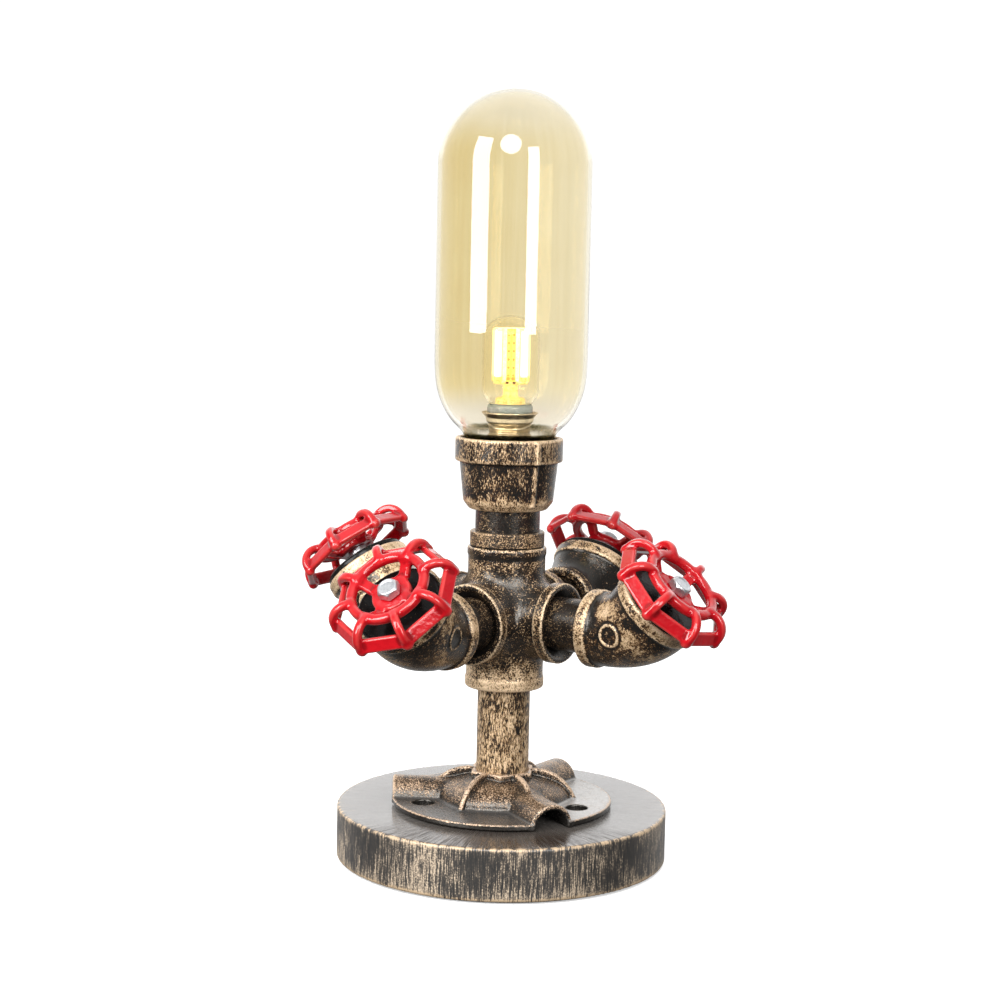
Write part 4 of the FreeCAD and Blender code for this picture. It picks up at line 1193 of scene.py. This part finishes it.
bolt_all, bolt_faces = [], []
for name, az, rise, lift, spin in ARMS:
    field, n, face = elbow_field_maker(rise)
    P, F = surface(field, (39.8, -19.4, 68.0), (88, 19.4, 128.5), he, 3)
    gain = np.full(len(P), {"front_right": 0.10, "front_left": 0.04, "back_left": 0.40, "back_right": -0.42}[name])
    gain += 0.16 * ease(P[:, 2], CR_Z - 4.0, CR_Z + 10.0) - 0.06
    on_bead = ease((P[:, 0] - face[0]) * n[0] + (P[:, 2] - CR_Z - face[1]) * n[1], -EL_OUT_W - 0.4, -EL_OUT_W + 0.2)
    gain += on_bead * {"front_right": 0.34, "front_left": 0.20, "back_left": 0.30, "back_right": 0.62}[name]
    gain += 0.15 * ease(P[:, 0], EL_IN + EL_IN_W + 0.5, EL_IN + EL_IN_W)
    rc_ = np.hypot(P[:, 0] - 57.5, P[:, 2] - CR_Z - 0.7)
    cheek = np.abs(P[:, 1]) > 8.0
    gain += cheek * (0.12 * ease(np.abs(rc_ - 4.2), 0.95, 0.5) - 0.45 * ease(rc_, 3.5, 3.0) - 0.5 * ease(np.abs(rc_ - 5.3), 0.7, 0.3))
    if name == "front_right":
        # a heavy rub on the shoulder beside the inlet bead, and one under the cheek's ring
        for cx_, cz_, sr, up_ in ((52.5, 10.5, 6.0, 0.75), (68.5, -1.0, 7.5, 0.48)):
            dd_ = np.hypot(P[:, 0] - cx_, P[:, 2] - CR_Z - cz_)
            gain += up_ * ease(dd_, sr, sr * 0.25)
    make("elbow_%s_look" % name, turn_z(P, az), F, "lamp_frame", M["elbow"], ["elbow_" + name], scales=(0.9, 7.0), extra=gain)
    Pn = nip[0] @ rot("Y", 90).T + np.array([0, 0, CR_Z])
    make("nipple_%s_look" % name, turn_z(Pn, az), nip[1], "lamp_frame", M["black"], ["nipple_" + name])
    make("plug_%s_look" % name, turn_z(onto(PV, rise), az), PF, "lamp_frame", M["plug"], ["plug_" + name])
    make("handwheel_%s_look" % name, turn_z(onto(WP, rise, spin, lift), az), WF, "wheel_" + name, M["red"],
         ["handwheel_" + name], scales=(1.2, 4.0))
    bolt_faces.append(BF + sum(len(b) for b in bolt_all))
    bolt_all.append(turn_z(onto(BP, rise, spin * 0.5, lift), az))
make("wheel_bolts_look", np.concatenate(bolt_all), np.concatenate(bolt_faces), "lamp_frame", M["zinc"], ["wheel_bolts"])

# ---- upper pipe work
V_, F_ = lathe(round_poly([(10.5, 118.0), (13.0, 118.0, 0.3), (13.0, 153.0, 0.3), (10.5, 153.0)]), 112, 0.7)
make("upper_nipple_look", V_, F_, "lamp_frame", M["black"], ["upper_nipple"])
V_, F_ = lathe(round_poly([(13.03, 128.1), (15.0, 128.1, 0.55), (15.0, 134.1, 0.55), (13.03, 134.1)]), 112, 0.4)
make("lock_collar_look", V_, F_, "lamp_frame", M["collar"], ["lock_collar"],
     extra=np.where(V_[:, 2] < 128.6, -0.9, 0.0))

RED = round_poly([(13.02, 143.0), (15.6, 143.0, 1.6), (18.1, 146.2, 3.0), (19.75, 162.2, 0.4), (21.6, 162.4, 0.8), (21.6, 171.8, 0.7),
                  (19.2, 171.8, 0.2), (19.2, 163.5), (15.2, 163.5), (15.2, 153.0), (13.02, 153.0)], 3)


def reducer_field(P):
    x, y, z = P.T
    r = length(x, y)
    f = poly(RED, r, z)
    th = np.arctan2(y, x)
    for a in (-24.5, 155.5):
        q = math.radians(a)
        al, ac = x * math.cos(q) + y * math.sin(q), -x * math.sin(q) + y * math.cos(q)
        top = 18.75 + 2.0 * np.clip((z - 145.4) / 17.0, 0, 1)
        top = np.where(z > 162.3, 22.15, top)
        rib = np.maximum(np.maximum(rect(ac, al - 16.0, 1.0, 0.0 + (top - 16.0), 0.7), 145.0 - z), z - 171.0)
        rib = np.maximum(rib, 16.2 - r) if True else rib
        f = smin(f, rib, 0.9)
    f = np.maximum(f, -np.maximum(r - 15.2, 153.0 - z))
    f = np.maximum(f, -np.maximum(r - 19.2, 163.5 - z))
    return f


P, F = surface(reducer_field, (-23, -23, 142.2), (23, 23, 172.6), 0.55, 3)
make("bell_reducer_look", P, F, "lamp_frame", M["reducer"], ["bell_reducer"], scales=(0.9, 7.0),
     extra=0.04 * ease(P[:, 2], 160.5, 162.5) + 0.52 * ease(P[:, 2], 150.5, 144.5)
     + 0.30 * ease(np.abs(-P[:, 0] * math.sin(math.radians(-24.5)) + P[:, 1] * math.cos(math.radians(-24.5))), 1.9, 1.2))


# ---- glass
def smooth_line(pts, n=60):
    """Natural cubic through points, by arc length."""
    pts = np.array(pts, float)
    t = np.concatenate([[0], np.cumsum(np.linalg.norm(np.diff(pts, axis=0), axis=1))])
    m = len(pts)
    A = np.zeros((m, m)); rhs = np.zeros((m, 2))
    A[0, 0] = A[-1, -1] = 1
    h = np.diff(t)
    for i in range(1, m - 1):
        A[i, i - 1], A[i, i], A[i, i + 1] = h[i - 1], 2 * (h[i - 1] + h[i]), h[i]
        rhs[i] = 6 * ((pts[i + 1] - pts[i]) / h[i] - (pts[i] - pts[i - 1]) / h[i - 1])
    K = np.linalg.solve(A, rhs)
    out = []
    for s in np.linspace(0, t[-1], n):
        i = min(np.searchsorted(t, s, side="right") - 1, m - 2)
        a, b = t[i + 1] - s, s - t[i]
        hi = h[i]
        out.append(K[i] * a ** 3 / (6 * hi) + K[i + 1] * b ** 3 / (6 * hi) + (pts[i] / hi - K[i] * hi / 6) * a + (pts[i + 1] / hi - K[i + 1] * hi / 6) * b)
    return out


go = [(18.0, 171.9), (18.9, 173.4), (23.0, 177.7), (26.9, 183.7), (29.3, 190.1), (30.35, 197.0), (GL_R, 204.0)]
gi = [(18.0 - GL_T, 172.4), (17.6, 174.6), (21.8, 178.9), (25.5, 184.6), (27.75, 190.6), (28.8, 197.2), (GL_R - GL_T, 204.0)]
zc = GL_TOP - GL_R
outer = [np.array([GL_NECK_R, GL_Z0])] + smooth_line(go) + [np.array([GL_R, z]) for z in np.linspace(206, zc, 40)]
outer += [np.array([GL_R * math.cos(q), zc + GL_R * math.sin(q)]) for q in np.linspace(0.03, math.pi / 2, 46)]
ri = GL_R - GL_T
inner = [np.array([ri * math.cos(q), zc + ri * math.sin(q)]) for q in np.linspace(math.pi / 2, 0.03, 46)]
inner += [np.array([ri, z]) for z in np.linspace(zc, 206, 40)] + smooth_line(gi)[::-1] + [np.array([GL_NECK_R - GL_T, GL_Z0])]
outer[-1][0] = 0.0
inner[0][0] = 0.0
V_, F_ = lathe(outer + inner, 144, 3.0)
ob = make("glass_shade_look", V_, F_, "shade", M["glass"], ["glass_shade"], convexity=False)
ob.data.materials.append(M["glass_inside"])
rad = np.hypot(V_[:, 0], V_[:, 1])
hgt = np.where(V_[:, 2] > zc, np.hypot(rad, V_[:, 2] - zc), 0)
inner_rows = np.zeros(len(V_), bool)
inner_rows[len(V_) // 2:] = True
fc = np.array([inner_rows[list(f)].all() for f in F_])
ob.data.polygons.foreach_set("material_index", fc.astype(np.int32))

# ---- bulb
HOLDER_Z = 173.6
cap = [(0, 160.9), (3.0, 160.9, 0.3), (3.4, 161.6), (7.4, 162.6), (8.0, 163.4)]
z = 163.6
while z < HOLDER_Z - 1.0:
    cap += [(8.38, z + 0.45, 0.5), (7.55, z + 1.25, 0.5)]
    z += 1.7
z = HOLDER_Z + 0.1
while z < 176.0:
    cap += [(8.2, z, 0.2), (8.95, z + 0.55, 0.35), (8.95, z + 0.75, 0.35), (8.1, z + 1.3, 0.2)]
    z += 1.6
cap += [(8.6, 176.6), (9.5, 177.6, 0.5), (9.7, 179.6, 1.2), (11.3, 181.5, 0.2), (11.3, 181.9, 0.15), (10.4, 181.9, 0.3),
        (9.25, 180.2, 0.6), (9.25, 177.3), (0, 177.3)]
V_, F_ = lathe(round_poly(cap, 3), 96, 0.5)
make("bulb_cap_look", V_, F_, "bulb", M["cap"], ["bulb_cap"])
V_, F_ = lathe(round_poly([(0, 177.32), (9.2, 177.32, 0.3), (9.2, 185.4, 1.7), (0, 185.4)]), 96, 0.5)
make("bulb_neck_look", V_, F_, "bulb", M["grey"], ["bulb_neck"])
ER, ET, EZ0, EZ1, EH = 11.4, 0.7, 185.4, 220.4, 8.5


def cap_line(r, h, top, n=18):
    """Line from the wall up to the axis: an ellipse's quarter, as a blown end has."""
    return [(r * math.cos(math.pi / 2 * k / n), top - h + h * math.sin(math.pi / 2 * k / n)) for k in range(n + 1)]


eo = cap_line(ER, EH, EZ1)
ei = cap_line(ER - ET, EH - ET, EZ1 - ET)
eo[-1] = (0.0, EZ1); ei[-1] = (0.0, EZ1 - ET)
shoulder_o = smooth_line([(9.0, EZ0), (9.5, EZ0 + 1.0), (10.9, EZ0 + 3.0), (ER, EZ0 + 5.2)], 14)
shoulder_i = smooth_line([(8.3, EZ0), (8.8, EZ0 + 1.3), (10.2, EZ0 + 3.2), (ER - ET, EZ0 + 5.3)], 14)
V_, F_ = lathe(list(shoulder_o) + eo + ei[::-1] + list(shoulder_i)[::-1], 96, 2.0)
make("bulb_envelope_look", V_, F_, "bulb", M["bulb_glass"], ["bulb_envelope"], convexity=False)

# inner stem: foot, post and the eight-sided column that carries the strips
COL_A, COL_Z0, COL_Z1, TURN = 6.8, 193.0, 215.6, 33.5
VS, FS = lathe(round_poly([(0, 185.42), (6.0, 185.42), (6.0, 187.0, 0.5), (3.6, 187.4, 0.5), (3.0, 188.4, 0.4), (3.0, 193.2), (0, 193.2)]), 64, 0.5)
VS, FS = [tuple(v) for v in VS], [tuple(f) for f in FS]
edge = COL_A / math.cos(math.pi / 8)
rings = []
for rr_, zz in ((edge - 0.35, COL_Z0), (edge, COL_Z0 + 0.3), (edge, COL_Z1 - 0.3), (edge - 0.35, COL_Z1)):
    ring = []
    for k in range(8):
        q = math.radians(45 * k + TURN - 22.5)
        ring.append(len(VS))
        VS.append((rr_ * math.cos(q), rr_ * math.sin(q), zz))
    rings.append(ring)
for A_, B_ in zip(rings, rings[1:]):
    for k in range(8):
        FS.append((A_[k], A_[(k + 1) % 8], B_[(k + 1) % 8], B_[k]))
for ring, up in ((rings[0], False), (rings[-1], True)):
    c = len(VS)
    VS.append((0, 0, VS[ring[0]][2]))
    for k in range(8):
        l = (k + 1) % 8
        FS.append((ring[k], ring[l], c, c) if up else (ring[l], ring[k], c, c))
make("bulb_stem_look", VS, np.array(FS), "bulb", M["stem"], ["bulb_stem"], smooth=False, convexity=False)

# eight strips of phosphor: hot ones and warm double rows in turn
SV, SF, SU, SK = [], [], [], []
seg_u = 10
for k in range(8):
    q = math.radians(45 * k + TURN)
    ca, sa = math.cos(q), math.sin(q)
    hot = k % 2
    half = 2.3 if hot else 1.9
    glow = 1.0 if hot else 0.55 if k in (0, 4) else 0.0
    rows = []
    for zz in np.linspace(194.2, 215.2, 43):
        row = []
        for j in range(seg_u + 1):
            v = -1 + 2 * j / seg_u
            if hot:
                rr_ = 7.6 - 0.5 * abs(v) ** 2.4
            else:
                rr_ = 7.12 + 0.38 * abs(math.sin(math.pi * v))
            yy = v * half
            row.append(len(SV))
            SV.append((rr_ * ca - yy * sa, rr_ * sa + yy * ca, zz))
            SU.append(v)
            SK.append(glow)
        for v in (1, -1):
            row.append(len(SV))
            SV.append((6.82 * ca - v * half * sa, 6.82 * sa + v * half * ca, zz))
            SU.append(float(v))
            SK.append(glow)
        rows.append(row)
    m = len(rows[0])
    for a, b in zip(rows, rows[1:]):
        for j in range(m):
            l = (j + 1) % m
            SF.append((a[j], a[l], b[l], b[j]))
    for row, flip in ((rows[0], True), (rows[-1], False)):
        c = len(SV)
        SV.append(tuple(np.mean([SV[i] for i in row], axis=0)))
        SU.append(0.0)
        SK.append(glow)
        for j in range(m):
            l = (j + 1) % m
            SF.append((row[l], row[j], c, c) if flip else (row[j], row[l], c, c))
ob = make("led_strips_look", SV, SF, "bulb", M["led"], ["led_strips"], convexity=False)
for label, vals in (("across", SU), ("kind", SK)):
    at = ob.data.attributes.new(label, "FLOAT", "POINT")
    at.data.foreach_set("value", np.array(vals, np.float32))

# ====================================================================== stage
AZ = 33.5
Rz = Matrix.Rotation(math.radians(AZ), 3, "Z")
FORWARD = Rz @ Vector((0, 1, 0))

bpy.ops.mesh.primitive_plane_add(size=16, location=(0, 0, 0))
floor = bpy.context.object
floor.name = "stage_floor"
fm = bpy.data.materials.new("stage_white")
fm.use_nodes = True
fb = fm.node_tree.nodes["Principled BSDF"]
fb.inputs["Base Color"].default_value = (0.90, 0.90, 0.90, 1)
fb.inputs["Roughness"].default_value = 0.95
fb.inputs["Specular IOR Level"].default_value = 0.0
fb.inputs["Emission Color"].default_value = (1, 1, 1, 1)
fb.inputs["Emission Strength"].default_value = 0.43
floor.data.materials.append(fm)
floor.visible_glossy = False
floor.visible_diffuse = False

# studio: a white backdrop, an overhead scrim and a dim room, with softboxes in it
world = bpy.data.worlds.new("studio") if scene.world is None else scene.world
scene.world = world
world.use_nodes = True
wt = world.node_tree
wt.nodes.clear()


def wn(kind, **props):
    x = wt.nodes.new(kind)
    for k, v in props.items():
        setattr(x, k, v)
    return x


def wmath(op, a, b):
    x = wn("ShaderNodeMath", operation=op)
    for i, v in enumerate((a, b)):
        if isinstance(v, bpy.types.NodeSocket):
            wt.links.new(v, x.inputs[i])
        else:
            x.inputs[i].default_value = v
    return x.outputs[0]


def wstep(v, lo, hi, to):
    x = wn("ShaderNodeMapRange", interpolation_type="SMOOTHSTEP")
    wt.links.new(v, x.inputs["Value"])
    x.inputs["From Min"].default_value, x.inputs["From Max"].default_value = lo, hi
    x.inputs["To Max"].default_value = to
    return x.outputs[0]


wc = wn("ShaderNodeTexCoord").outputs["Generated"]
dot = wn("ShaderNodeVectorMath", operation="DOT_PRODUCT")
wt.links.new(wc, dot.inputs[0])
dot.inputs[1].default_value = FORWARD
wz = wn("ShaderNodeSeparateXYZ")
wt.links.new(wc, wz.inputs[0])
zdir = wz.outputs[2]
room = wmath("ADD", wstep(dot.outputs["Value"], 0.05, 0.80, 0.95), 0.15)
low = wmath("MULTIPLY", wstep(zdir, 0.06, 0.16, 1.0), wstep(wmath("MULTIPLY", zdir, -1.0), -0.55, -0.38, 1.0))
room = wmath("ADD", room, wmath("MULTIPLY", low, wstep(dot.outputs["Value"], 0.55, 0.85, 0.70)))
room = wmath("ADD", room, wstep(zdir, 0.55, 0.95, 0.65))
room = wmath("MULTIPLY", room, wmath("SUBTRACT", 1.0, wstep(wmath("MULTIPLY", zdir, -1.0), -0.02, 0.35, 0.62)))
lp = wn("ShaderNodeLightPath")
seen = wmath("MAXIMUM", lp.outputs["Is Camera Ray"], lp.outputs["Is Transmission Ray"])
pick = wn("ShaderNodeMix", data_type="FLOAT")
wt.links.new(seen, pick.inputs[0])
wt.links.new(room, pick.inputs[2])
pick.inputs[3].default_value = 1.06
bg = wn("ShaderNodeBackground")
bg.inputs["Color"].default_value = (1, 1, 1, 1)
wt.links.new(pick.outputs[0], bg.inputs["Strength"])
wo = wn("ShaderNodeOutputWorld")
wt.links.new(bg.outputs[0], wo.inputs["Surface"])


def cam_pos(az, dist, z):
    """Point at an angle to the right of the front of the stage, as seen from the lamp."""
    q = math.radians(az)
    return Rz @ Vector((math.sin(q) * dist, -math.cos(q) * dist, z))


def softbox(name, az, dist, z0, z1, w, radiance, shape="RECTANGLE", aim=None):
    L = bpy.data.lights.new(name, "AREA")
    L.shape = shape
    L.size, L.size_y = w, z1 - z0
    surface_area = w * (z1 - z0) if shape == "RECTANGLE" else math.pi * w * w / 4
    L.energy = radiance * math.pi * surface_area
    ob = bpy.data.objects.new(name, L)
    ob.location = cam_pos(az, dist, 0.5 * (z0 + z1))
    d = Vector(aim or (0, 0, 0.5 * (z0 + z1))) - ob.location
    ob.rotation_euler = d.to_track_quat("-Z", "Y").to_euler()
    scene.collection.objects.link(ob)
    return ob


softbox("softbox_left", -51.1, 1.10, 0.185, 1.07, 0.53, 12.6)
softbox("softbox_right", 27.2, 1.10, 0.185, 0.79, 0.33, 12.6)
softbox("round_front", -7.6, 1.0, 0.82, 0.83, 0.587, 12.6, "DISK", (0, 0, 0.287))

# ===================================================================== camera
D, H, pitch, roll, fpx, cx = 0.791601787, 0.234239992, 0.110598343, 0.0211490137, 1980.54132, -0.00322508747
cam = bpy.data.cameras.new("camera")
cam.sensor_fit = "HORIZONTAL"
cam.sensor_width = 36.0
cam.lens = fpx / 1000.0 * 36.0
cam.clip_start, cam.clip_end = 0.02, 50
co = bpy.data.objects.new("camera", cam)
scene.collection.objects.link(co)
Rv = Vector((1, 0, 0))
Fv = Vector((0, math.cos(pitch), -math.sin(pitch)))
Uv = Vector((0, math.sin(pitch), math.cos(pitch)))
right = Rv * math.cos(roll) + Uv * math.sin(roll)
up = -Rv * math.sin(roll) + Uv * math.cos(roll)
m = Matrix((right, up, -Fv)).transposed()
m = (Rz @ m).to_4x4()
m.translation = Rz @ Vector((cx, -D, H))
co.matrix_world = m
scene.camera = co
scene.view_settings.view_transform = "Standard"
